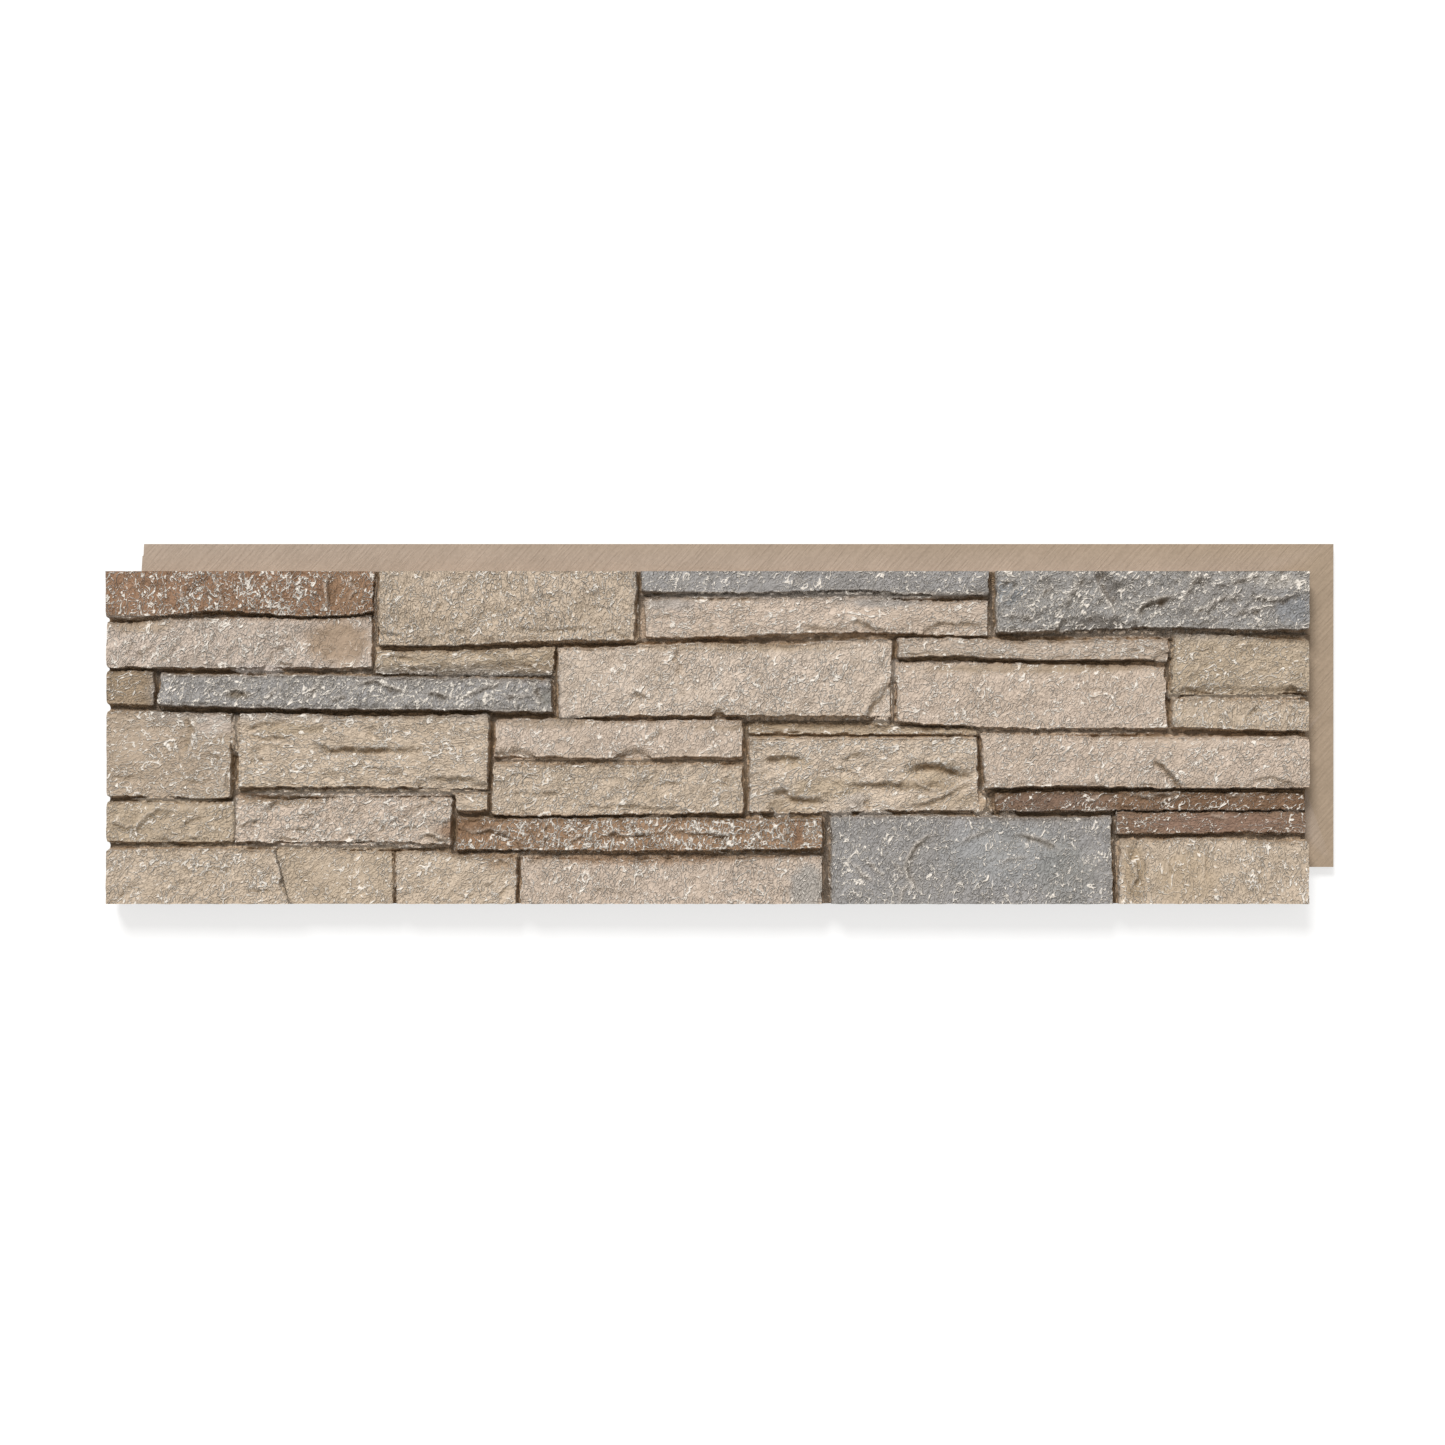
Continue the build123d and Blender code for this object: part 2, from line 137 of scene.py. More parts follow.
# Each stone of the face: its sides at the bottom and at the top, its lower and upper
# edge, its paint, the way its grain runs in degrees, how rough it is, how strongly small
# ridges stand up on it, and how much of the pale dry-brushed coat is on them.
beige = (206, 188, 167)
pink_beige = (209, 191, 174)
khaki = (195, 177, 154)
brown = (157, 124, 99)
dark_brown = (132, 104, 81)
slate_blue = (164, 161, 159)
stones = {
    "brown_cap": ((0, 0), (237, 238), (256.5, 300), brown, 80, 1.0, 1.1, 0.78),
    "under_cap": ((0, 0), (235, 236), (210, 253), (211, 195, 181), 62, 1.0, 0.8, 0.5),
    "top_block": ((242, 242), (468, 470), (231, 300), beige, 80, 1.0, 0.9, 0.4),
    "layered": ((238, 240), (396, 397), (203.5, 226), khaki, 15, 1.0, 0.5, 0.25),
    "thin_blue": ((475, 474), (782, 783), (276.5, 300), slate_blue, 50, 0.6, 0.8, 0.45),
    "under_blue": ((479, 478), (781, 782), (239, 271.5), pink_beige, 25, 0.8, 0.6, 0.35),
    "slate_corner": ((790, 789), (1070, 1070), (243, 300), (165, 162, 159), 50, 1.4, 1.3, 0.76),
    "large": ((402, 401), (695, 696), (166, 230), (215, 198, 181), 60, 0.8, 0.7, 0.42),
    "ledge": ((702, 702), (941, 942), (217.5, 235), (198, 181, 164), 10, 0.7, 0.6, 0.5),
    "sloping": ((702, 701), (940, 939), (157, 213.5), pink_beige, 55, 0.7, 0.6, 0.35),
    "end_block": ((943, 948), (1070, 1070), (187, 237), khaki, 35, 0.8, 0.6, 0.25),
    "end_strip": ((945, 946), (1070, 1070), (155, 182), beige, 70, 1.0, 0.6, 0.4),
    "small_left": ((0, 0), (42, 42), (177.5, 206.5), (170, 150, 126), 30, 0.6, 0.6, 0.25),
    "long_blue": ((46, 49), (395, 395), (172.5, 202), slate_blue, 62, 1.2, 1.3, 0.86),
    "split": ((0, 0), (110, 112), (95, 170.5), (190, 172, 152), 20, 0.6, 0.6, 0.5),
    "layered_block": ((117, 119), (338, 340), (103.5, 168), beige, 5, 1.0, 0.7, 0.4),
    "upper_middle": ((345, 345), (564, 564), (130.5, 163.5), pink_beige, 60, 0.6, 0.4, 0.25),
    "lower_middle": ((342, 343), (565, 564), (79.5, 123.5), beige, 45, 0.9, 0.8, 0.4),
    "slivers": ((569, 570), (772, 770), (151.5, 158.5), khaki, 0, 0.8, 0.3, 0.2),
    "chiselled": ((570, 571), (773, 772), (82.5, 147.5), (219, 201, 181), 25, 1.0, 0.8, 0.45),
    "right_proud": ((779, 776), (1070, 1070), (103.5, 149), pink_beige, 50, 0.7, 0.7, 0.4),
    "brown_ledge": ((789, 789), (1070, 1070), (83, 99.5), dark_brown, 35, 0.9, 0.8, 0.34),
    "brown_strip": ((896, 896), (1070, 1070), (63, 82), (146, 119, 99), 10, 0.7, 0.5, 0.27),
    "rough_end": ((0, 0), (113, 113), (55.5, 91), khaki, 35, 1.1, 0.7, 0.3),
    "rough": ((115, 115), (305, 307), (55, 94), (216, 198, 181), 40, 1.5, 1.0, 0.5),
    "filler": ((310, 310), (338, 338), (83, 97.5), beige, 0, 0.6, 0.4, 0.4),
    "long_brown": ((311, 312), (635, 635), (48, 76), (166, 135, 108), 75, 1.0, 1.2, 0.92),
    "corner": ((-5, -5), (164, 150), (-5, 49), beige, 50, 0.9, 0.8, 0.4),
    "sunk": ((164, 150), (254, 254), (-5, 48), (200, 182, 160), 40, 0.7, 0.4, 0.2),
    "square": ((258, 257), (363, 364), (-5, 44), beige, 40, 0.8, 0.6, 0.3),
    "pale": ((368, 368), (635, 635), (-5, 40), pink_beige, 75, 0.7, 0.8, 0.4),
    "oval_blue": ((643, 643), (893, 890), (-5, 77.5), slate_blue, 65, 0.6, 0.9, 0.5),
    "end_stone": ((898, 900), (1070, 1070), (-5, 57), beige, 88, 0.8, 0.4, 0.3),
}


def outside(stone, x, y):
    """How far points lie outside a stone, in millimetres, below 0 inside it."""
    left, right, (low, high) = stone[:3]
    lean = (y - low) / (high - low)
    across = np.maximum(
        left[0] + (left[1] - left[0]) * lean - x, x - right[0] - (right[1] - right[0]) * lean
    )
    return np.maximum(across, np.maximum(low - y, y - high))


distances = np.array([outside(stone, x, y) for stone in stones.values()])
nearest = distances.argmin(0)


def of_nearest(values):
    """What the nearest stone has, at each place of the map."""
    return np.array(values)[nearest]


# Ragged edges: the solid is read at places that wander by a millimetre or two, but not
# at the panel's own straight edges.
inside_face = np.minimum(np.minimum(x, face_length - x), np.minimum(y, face_height - y))
wander = ease(0.5, 7, inside_face)
stray_x = 1.1 * cloud(x, y, 13, 11, 2) + 0.7 * cloud(x, y, 3.6, 21)
stray_y = 1.1 * cloud(x, y, 15, 31, 2) + 0.7 * cloud(x, y, 3.6, 41)
within = 0.6
read_x = np.clip(x + stray_x * wander, within, full_length - within)
read_y = np.clip(y + stray_y * wander, within, full_height - within)
read_x = np.where(x < face_length, np.minimum(read_x, face_length - within), read_x)
read_y = np.where(y < face_height, np.minimum(read_y, face_height - within), read_y)
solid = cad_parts["stone_panel"]
faces = [tuple(face.vertices) for face in solid.data.polygons]
tree = BVHTree.FromPolygons([v.co for v in solid.data.vertices], faces)
down = Vector((0, 0, -1))
above = panel_high.z + 0.01


def solid_height(at_x, at_y):
    """The height of the solid's front at one place, in millimetres."""
    start = Vector((panel_low.x + at_x * mm, panel_low.y + at_y * mm, above))
    hit = tree.ray_cast(start, down)[0]
    return hit.z / mm if hit else 0.0


height = np.fromiter(map(solid_height, read_x.ravel(), read_y.ravel()), float, x.size)
height = height.reshape(x.shape)
# The corner stone is split: its joint is filled up to the lower half, which makes a step.
high_on_left = height
high_on_right = height
cells_over_joint = 8
for cells in range(1, cells_over_joint + 1):
    to_left = np.maximum(np.arange(columns.size) - cells, 0)
    to_right = np.minimum(np.arange(columns.size) + cells, last_column)
    high_on_left = np.maximum(high_on_left, height[to_left])
    high_on_right = np.maximum(high_on_right, height[to_right])
split_foot = 164
split_lean = 0.29
from_split = np.abs(x - split_foot + split_lean * y)
at_step = (from_split < 9) & (y < 46)
height = np.where(at_step, np.minimum(high_on_left, high_on_right), height)
slope = average(height, 4, 0)
height = height + (slope - height) * ease(7, 4, from_split) * ease(48, 40, y)
on_stone = ease(joint_floor + 0.8, joint_floor + 3, height)
on_face = ease(-0.2, 0.2, inside_face)

# Mortar: in a few places the mould runs on from one stone to the next over the joint.
# Each lump has its middle, its half width and half height, and how far it stands up.
lumps = [
    (133, 208, 25, 5, 6),
    (148, 206, 9, 4, 7),
    (699, 207, 7, 12, 7),
    (688, 162, 9, 5, 6),
    (335, 166, 7, 4, 7),
    (491, 77, 12, 5, 6),
    (600, 78, 8, 5, 6),
    (577, 78, 6, 6, 5),
    (682, 79, 16, 6, 6),
    (652, 80, 11, 5, 7),
    (40, 52, 26, 4, 3),
    (110, 52, 40, 3.5, 3),
    (146, 51, 9, 4, 4),
    (948, 225, 8, 9, 5),
    (946, 186, 8, 5, 6),
    (115, 150, 6, 20, 8),
    (114, 75, 5, 22, 6),
    (778, 85, 10, 12, 5),
    (800, 80, 9, 5, 5),
    (304, 199, 50, 4, 2.5),
    (230, 99, 116, 5, 7),
    (208, 52, 100, 5, 6),
    (630, 274, 156, 5, 7),
    (820, 153, 120, 5, 5),
    (1008, 184, 62, 4, 6),
    (60, 93, 40, 4, 6),
    (240, 264, 3, 30, 5),
    (698, 190, 3, 30, 4),
    (254, 24, 3, 24, 5),
    (475, 44, 166, 5, 4),
    (70, 254, 72, 4, 3.5),
    (455, 127, 113, 5, 3.5),
    (930, 240, 142, 5, 3.5),
    (548, 165, 150, 4, 3),
    (455, 77, 112, 4, 3),
    (390, 235, 150, 4, 3),
]
torn_x = x + 1.3 * cloud(x, y, 7, 121, 2)
torn_y = y + 1.3 * cloud(x, y, 7, 131, 2)
uneven_mortar = 1.2 * cloud(x, y, 6, 141, 2)
mortar = np.zeros(x.shape)
for middle_x, middle_y, half_width, half_height, rise in lumps:
    far = ((torn_x - middle_x) / half_width) ** 2 + ((torn_y - middle_y) / half_height) ** 2
    filled = joint_floor + rise * (1 - far**3) + uneven_mortar
    height = np.where((far < 1) & (filled > height) & (y < face_height), filled, height)
    mortar = np.maximum(mortar, (1 - ease(0.5, 1.1, far)) * (rise > 5.5))

# The places knocked off the stones have soft rims, away from the stones' own edges.
well_inside = ease(0.75, 0.98, blur(on_stone, 4)) * on_face
height = height + (blur(height, 3) - height) * well_inside

# Broken edges that run across the fronts: the drop, the reach over which the ground comes
# back, the lip along the edge, and the line, each point's x and y in turn. The low ground
# is on the line's right.
breaks = {}
breaks["brown_cap"] = [
    (0.9, 6, 0.6, [76, 259, 70, 271, 67, 280]),
    (0.7, 6, 0.5, [103, 278, 99, 286, 94, 293]),
    (0.7, 5, 0.5, [104, 265, 102, 275]),
    (0.8, 6, 0.6, [173, 268, 172, 281, 166, 286, 157, 290]),
    (0.5, 4, 0.7, [216, 267, 218, 275, 222, 279, 217, 286, 220, 293]),
    (1.2, 6, 0.8, [197, 260, 197, 273, 195, 282, 199, 294]),
]
breaks["under_cap"] = [
    (1.4, 6, 0.5, [148, 236, 157, 239, 164, 239, 167, 233]),
    (0.5, 5, 0.6, [18, 215, 18, 225, 22, 237]),
    (0.5, 5, 0.6, [35, 215, 34, 225, 39, 234]),
    (0.4, 5, 0.6, [42, 213, 54, 221, 63, 232, 67, 241]),
    (0.4, 5, 0.5, [83, 213, 89, 225, 94, 238, 101, 247]),
    (0.4, 5, 0.5, [104, 213, 110, 227, 118, 239]),
    (0.9, 5, 0.3, [146, 212, 154, 216, 162, 214, 170, 209]),
    (0.6, 3, 0.4, [195, 209, 199, 216, 205, 216]),
]
breaks["top_block"] = [
    (0.8, 4, 0.3, [286, 239, 297, 240, 305, 243, 323, 244]),
    (1.0, 4, 0.3, [350, 243, 367, 246, 392, 244, 416, 246, 449, 246]),
    (0.9, 5, 0.4, [239, 240, 249, 243, 259, 241, 269, 232]),
    (0.6, 4, 0.4, [275, 232, 284, 237, 297, 238, 316, 236]),
    (0.8, 5, 0.5, [289, 245, 290, 258, 294, 267, 300, 268]),
    (0.6, 3, 0.2, [328, 247, 330, 254, 335, 257]),
    (0.5, 4, 0.5, [254, 245, 251, 261, 253, 277, 251, 291]),
    (0.5, 4, 0.4, [366, 247, 362, 258, 367, 268]),
    (0.6, 4, 0.4, [390, 273, 394, 276, 399, 272]),
    (0.5, 4, 0.3, [428, 259, 430, 265, 436, 266, 444, 262]),
    (0.7, 4, 0.4, [429, 239, 440, 242, 450, 245, 458, 239, 470, 243]),
]
breaks["layered"] = [
    (0.9, 4, 0.4, [240, 217, 251, 221, 266, 220, 279, 216]),
    (0.7, 3, 0.3, [242, 211, 256, 215, 272, 211, 293, 209, 310, 208]),
    (0.8, 3, 0.3, [242, 205, 259, 207, 279, 205, 302, 207, 323, 206]),
    (0.6, 4, 0.3, [367, 219, 378, 224, 390, 224]),
    (0.7, 3, 0.3, [350, 205, 367, 207, 392, 206]),
]
breaks["thin_blue"] = [
    (0.7, 4, 0.4, [614, 284, 611, 292]),
]
breaks["under_blue"] = [
    (0.7, 4, 0.3, [478, 255, 488, 256, 498, 257, 505, 260]),
    (0.8, 4, 0.3, [526, 240, 532, 245, 542, 248]),
    (1.0, 4, 0.3, [616, 244, 623, 247, 634, 246, 647, 243]),
    (1.8, 7, 0.4, [656, 250, 668, 253, 680, 247, 697, 243]),
    (0.5, 3, 0.3, [604, 253, 602, 260]),
    (1.5, 7, 0.4, [722, 242, 730, 248, 740, 251, 753, 249, 764, 251, 782, 247]),
]
breaks["slate_corner"] = [
    (1.8, 9, 0.8, [919, 246, 914, 257, 917, 264, 927, 269, 941, 272, 952, 273]),
    (1.6, 8, 0.8, [950, 268, 960, 278, 963, 285, 969, 290, 976, 293]),
    (1.4, 6, 0.8, [996, 284, 1005, 287, 1012, 289, 1023, 293]),
    (1.8, 10, 0.7, [811, 288, 804, 277, 792, 266]),
    (1.0, 6, 0.4, [791, 286, 799, 286, 808, 288]),
    (1.5, 7, 0.8, [899, 258, 890, 266, 882, 278, 876, 290]),
    (1.0, 7, 0.5, [1010, 270, 1023, 272, 1036, 270, 1048, 272, 1060, 279]),
    (0.9, 6, 0.5, [851, 264, 854, 275, 862, 283, 866, 293]),
    (0.9, 6, 0.5, [976, 259, 982, 268, 992, 272, 1005, 270]),
    (0.8, 6, 0.5, [961, 254, 969, 261, 981, 263]),
    (1.0, 8, 0.4, [792, 254, 805, 257, 816, 255, 825, 248]),
    (0.9, 6, 0.5, [828, 270, 833, 278, 842, 284]),
    (0.9, 7, 0.4, [992, 250, 1005, 259, 1024, 262, 1044, 267]),
]
breaks["large"] = [
    (1.3, 6, 0.4, [464, 185, 469, 189, 476, 186, 486, 182]),
    (1.8, 8, 0.6, [501, 201, 506, 210, 501, 216, 503, 224, 506, 230]),
    (0.8, 5, 0.3, [482, 207, 491, 205, 501, 202]),
    (0.7, 4, 0.3, [583, 191, 577, 198, 575, 206]),
    (0.8, 4, 0.3, [452, 205, 457, 207, 462, 203]),
    (1.6, 8, 0.5, [674, 166, 677, 176, 685, 183, 691, 193]),
    (0.6, 5, 0.3, [684, 222, 691, 215, 690, 206]),
]
breaks["ledge"] = [
    (0.7, 4, 0.3, [703, 222, 709, 225, 716, 222, 725, 221]),
    (0.7, 4, 0.3, [897, 223, 907, 225, 919, 229, 934, 230]),
]
breaks["sloping"] = [
    (0.6, 4, 0.3, [853, 190, 865, 193, 877, 192, 891, 194]),
    (0.6, 5, 0.3, [810, 161, 828, 162, 845, 160]),
]
breaks["end_block"] = [
    (0.9, 5, 0.4, [948, 186, 957, 193, 968, 191, 980, 188]),
    (0.7, 4, 0.3, [1020, 206, 1026, 210, 1033, 207]),
    (1.4, 6, 0.4, [1044, 190, 1049, 195, 1057, 192, 1066, 190]),
    (0.8, 5, 0.3, [1049, 219, 1057, 223, 1066, 221]),
    (0.6, 5, 0.4, [962, 202, 973, 213, 984, 221]),
]
breaks["end_strip"] = [
    (0.7, 6, 0.4, [955, 157, 952, 169, 955, 178]),
    (0.8, 7, 0.4, [975, 157, 972, 167, 976, 178]),
    (0.8, 7, 0.4, [1005, 156, 1010, 167, 1018, 176, 1024, 179]),
    (0.7, 6, 0.4, [1046, 157, 1048, 168, 1044, 178]),
]
breaks["long_blue"] = [
    (1.8, 7, 0.4, [101, 182, 108, 189, 116, 191, 122, 189, 130, 181]),
    (1.0, 4, 0.5, [281, 185, 292, 188, 300, 185, 310, 183]),
    (1.0, 5, 0.6, [212, 189, 226, 196, 238, 199, 251, 193, 263, 190, 274, 185]),
    (0.9, 5, 0.5, [310, 179, 323, 186, 333, 192, 344, 195, 359, 197]),
    (1.0, 6, 0.9, [386, 178, 380, 186, 381, 193, 373, 200]),
    (0.8, 5, 0.5, [350, 181, 360, 186, 372, 184, 380, 186]),
    (0.8, 5, 0.6, [173, 176, 180, 186, 187, 193, 192, 201]),
    (0.7, 5, 0.6, [139, 178, 146, 186, 156, 193]),
    (0.7, 5, 0.6, [199, 176, 205, 183, 216, 186]),
]
breaks["split"] = [
    (1.8, 9, 0.9, [69, 171, 75, 162, 80, 154, 75, 143, 72, 135, 66, 126]),
    (0.8, 5, 0.4, [87, 137, 95, 135, 101, 130, 104, 123]),
    (0.8, 5, 0.3, [53, 119, 64, 117, 73, 111, 85, 110, 99, 114]),
    (0.6, 5, 0.3, [3, 117, 13, 114, 31, 116]),
    (0.5, 5, 0.3, [9, 154, 22, 157, 37, 160]),
    (0.8, 6, 0.5, [110, 93, 104, 101, 105, 113, 111, 126]),
]
breaks["layered_block"] = [
    (1.3, 5, 0.4, [120, 149, 129, 152, 140, 148, 152, 150, 168, 148]),
    (1.2, 5, 0.4, [130, 139, 141, 143, 154, 142, 162, 144]),
    (2.3, 9, 0.5, [169, 147, 186, 144, 200, 139, 214, 140, 228, 139, 248, 139, 281, 138]),
    (1.0, 3, 0.5, [233, 155, 238, 150, 251, 147]),
    (0.7, 4, 0.3, [219, 128, 238, 123, 258, 121, 282, 121]),
    (0.8, 4, 0.3, [242, 117, 260, 118, 275, 115]),
    (0.9, 6, 0.4, [279, 116, 293, 113, 306, 113, 320, 114, 331, 108, 340, 104]),
    (1.3, 5, 0.4, [118, 163, 128, 158, 139, 162, 152, 162, 164, 167]),
    (0.8, 5, 0.4, [124, 127, 135, 131, 144, 126]),
]
breaks["upper_middle"] = [
    (1.0, 6, 0.4, [476, 138, 480, 147, 488, 151, 490, 161]),
    (0.4, 5, 0.2, [383, 139, 382, 148, 387, 155]),
    (0.5, 4, 0.2, [390, 137, 396, 140, 399, 147]),
]
breaks["lower_middle"] = [
    (0.9, 5, 0.3, [482, 101, 491, 107, 502, 110, 514, 108]),
    (0.9, 6, 0.5, [565, 105, 553, 103, 544, 101, 536, 94, 529, 86]),
    (0.7, 5, 0.3, [546, 101, 548, 112, 553, 119]),
    (0.9, 4, 0.3, [399, 87, 421, 90, 443, 87, 466, 89, 487, 86, 518, 87]),
    (0.6, 4, 0.3, [350, 112, 367, 116, 385, 114]),
    (0.7, 5, 0.3, [347, 97, 367, 101, 390, 99, 416, 103]),
    (0.6, 4, 0.3, [429, 111, 447, 114, 469, 111]),
]
breaks["slivers"] = [
    (1.5, 3, 0.4, [571, 152, 587, 150, 595, 154, 611, 154, 626, 152, 646, 154]),
    (1.2, 3, 0.4, [655, 152, 677, 150, 698, 149, 722, 152, 746, 150, 770, 152]),
]
breaks["chiselled"] = [
    (0.9, 5, 1.0, [601, 114, 596, 105, 585, 101, 579, 95]),
    (1.9, 9, 0.4, [580, 124, 587, 131, 601, 132, 615, 131, 625, 132]),
    (2.8, 11, 0.5, [704, 117, 714, 122, 726, 126, 740, 125, 751, 121, 762, 116, 776, 114]),
    (1.0, 7, 0.9, [741, 101, 729, 103, 720, 108, 711, 116]),
    (1.2, 7, 0.8, [708, 88, 726, 90, 744, 97, 756, 105, 771, 111]),
    (2.2, 12, 0.4, [649, 109, 668, 108, 691, 109, 708, 108, 720, 101]),
    (1.8, 5, 0.5, [675, 81, 671, 87, 672, 96]),
    (1.8, 7, 0.6, [587, 91, 593, 100, 601, 103, 609, 97, 616, 95, 629, 95, 644, 91]),
    (0.8, 5, 0.4, [649, 128, 660, 133, 670, 135]),
    (0.8, 6, 0.4, [633, 118, 646, 122, 660, 119, 674, 114]),
    (0.7, 6, 0.4, [569, 114, 576, 118, 587, 117]),
]
breaks["right_proud"] = [
    (1.2, 8, 1.2, [927, 131, 934, 126, 939, 123, 946, 115, 957, 102]),
    (0.8, 5, 0.3, [907, 103, 917, 109, 927, 107, 934, 103]),
    (0.8, 6, 0.3, [1007, 108, 1019, 112, 1035, 114, 1048, 109, 1058, 105]),
    (0.5, 3, 0.3, [1051, 138, 1048, 147]),
    (0.5, 5, 0.3, [847, 131, 854, 139, 868, 144]),
    (0.5, 5, 0.3, [974, 128, 982, 136, 992, 142]),
]
breaks["brown_ledge"] = [
    (0.8, 4, 0.7, [899, 93, 912, 97, 925, 95, 938, 98, 961, 97]),
    (0.7, 4, 0.6, [868, 87, 876, 93, 883, 97]),
    (0.7, 4, 0.6, [930, 87, 941, 93, 957, 95]),
    (0.7, 4, 0.6, [989, 95, 1001, 97, 1015, 95]),
    (0.7, 4, 0.6, [786, 87, 791, 94, 798, 96]),
]
breaks["brown_strip"] = [
    (0.5, 4, 0.5, [978, 80, 987, 77, 996, 75]),
]
breaks["rough_end"] = [
    (1.2, 6, 0.4, [1, 73, 10, 72, 17, 68, 27, 70]),
    (0.8, 6, 0.5, [26, 55, 27, 68, 34, 77, 45, 84, 59, 86]),
    (0.9, 5, 0.5, [40, 54, 51, 59, 63, 55, 74, 61, 87, 58]),
    (0.6, 5, 0.4, [63, 67, 73, 75, 88, 79]),
]
breaks["rough"] = [
    (1.1, 6, 0.5, [114, 65, 122, 72, 132, 75, 141, 77]),
    (1.2, 5, 0.4, [164, 67, 172, 69, 182, 66]),
    (1.3, 5, 0.4, [148, 57, 158, 60, 169, 59, 177, 54]),
    (1.2, 6, 0.5, [268, 82, 277, 88, 288, 92, 297, 90, 305, 85]),
    (1.6, 6, 0.6, [272, 57, 281, 62, 289, 63, 297, 58, 305, 55]),
    (1.5, 6, 0.5, [197, 54, 211, 53, 222, 58, 235, 53, 249, 54, 266, 52]),
    (1.0, 6, 0.5, [233, 71, 240, 76, 247, 69, 251, 62]),
    (1.0, 6, 0.5, [259, 63, 265, 69, 272, 71, 279, 67]),
    (1.0, 6, 0.5, [295, 66, 300, 73, 305, 76]),
    (0.8, 5, 0.4, [208, 61, 217, 63, 224, 61]),
    (0.8, 6, 0.3, [139, 79, 143, 87, 151, 92]),
]
breaks["long_brown"] = [
    (1.2, 5, 0.7, [431, 57, 439, 61, 450, 64, 461, 61, 478, 63, 495, 64]),
    (1.0, 5, 0.7, [495, 61, 509, 66, 521, 63, 532, 64, 546, 62, 567, 64]),
    (0.8, 5, 0.6, [312, 67, 328, 64, 341, 67, 355, 62, 366, 55]),
    (0.7, 4, 0.7, [465, 64, 467, 71, 475, 74]),
    (0.7, 4, 0.7, [407, 48, 412, 56, 419, 59, 421, 66]),
    (0.7, 5, 0.7, [604, 49, 601, 59, 605, 69, 601, 76]),
    (0.7, 4, 0.7, [573, 52, 580, 59, 576, 68, 583, 74]),
    (0.6, 4, 0.6, [385, 50, 390, 59, 389, 68, 396, 74]),
]
breaks["corner"] = [
    (1.0, 8, 1.2, [164, 0, 158, 8, 154, 18, 155, 31, 151, 39, 147, 47]),
    (0.8, 4, 0.5, [95, 39, 99, 33, 105, 31, 112, 35]),
    (0.7, 4, 0.4, [70, 36, 75, 30, 81, 30]),
    (0.7, 5, 0.4, [86, 23, 89, 32, 95, 40]),
    (0.7, 6, 0.4, [120, 17, 127, 13, 139, 14, 151, 10]),
    (0.5, 5, 0.3, [8, 6, 17, 13, 24, 22]),
]
breaks["sunk"] = [
    (0.6, 4, 0.3, [173, 28, 181, 31, 186, 37]),
    (0.5, 4, 0.3, [226, 19, 232, 24]),
    (0.6, 5, 0.3, [164, 10, 170, 18, 175, 27]),
]
breaks["square"] = [
    (0.8, 5, 0.5, [341, 2, 349, 10, 356, 16, 357, 25]),
    (1.0, 4, 0.4, [339, 39, 346, 42, 353, 38, 362, 36]),
    (0.6, 4, 0.3, [266, 31, 274, 37, 282, 39]),
    (0.6, 4, 0.4, [297, 8, 307, 12, 320, 8, 330, 13]),
    (0.6, 4, 0.4, [332, 23, 339, 18, 344, 22]),
]
breaks["pale"] = [
    (0.5, 5, 0.3, [426, 14, 442, 15, 458, 12, 467, 8]),
    (0.5, 5, 0.3, [544, 10, 567, 13, 589, 10]),
]
breaks["oval_blue"] = [
    (1.4, 9, 0.8, [728, 5, 720, 14, 711, 23, 709, 33, 712, 42, 717, 52, 729, 61, 742, 62]),
    (1.5, 8, 0.4, [804, 64, 815, 62, 828, 59, 840, 53, 849, 45]),
    (0.6, 6, 0.4, [755, 50, 762, 58, 770, 61, 781, 65, 791, 69]),
    (0.5, 4, 0.6, [661, 38, 670, 27, 682, 18]),
    (0.5, 4, 0.6, [674, 41, 681, 32, 690, 23]),
    (0.5, 4, 0.6, [703, 0, 706, 11, 712, 20]),
    (0.4, 5, 0.5, [698, 38, 704, 29, 706, 22]),
    (0.4, 5, 0.4, [791, 29, 798, 38, 808, 41, 822, 43]),
]
breaks["end_stone"] = [
    (1.4, 9, 1.2, [915, 8, 910, 16, 914, 24, 913, 32, 907, 42, 900, 52]),
    (0.7, 7, 0.4, [976, 16, 973, 32, 976, 50]),
    (0.7, 7, 0.4, [1024, 8, 1020, 23, 1024, 38, 1019, 52]),
    (0.5, 6, 0.3, [943, 22, 941, 34, 945, 46]),
]


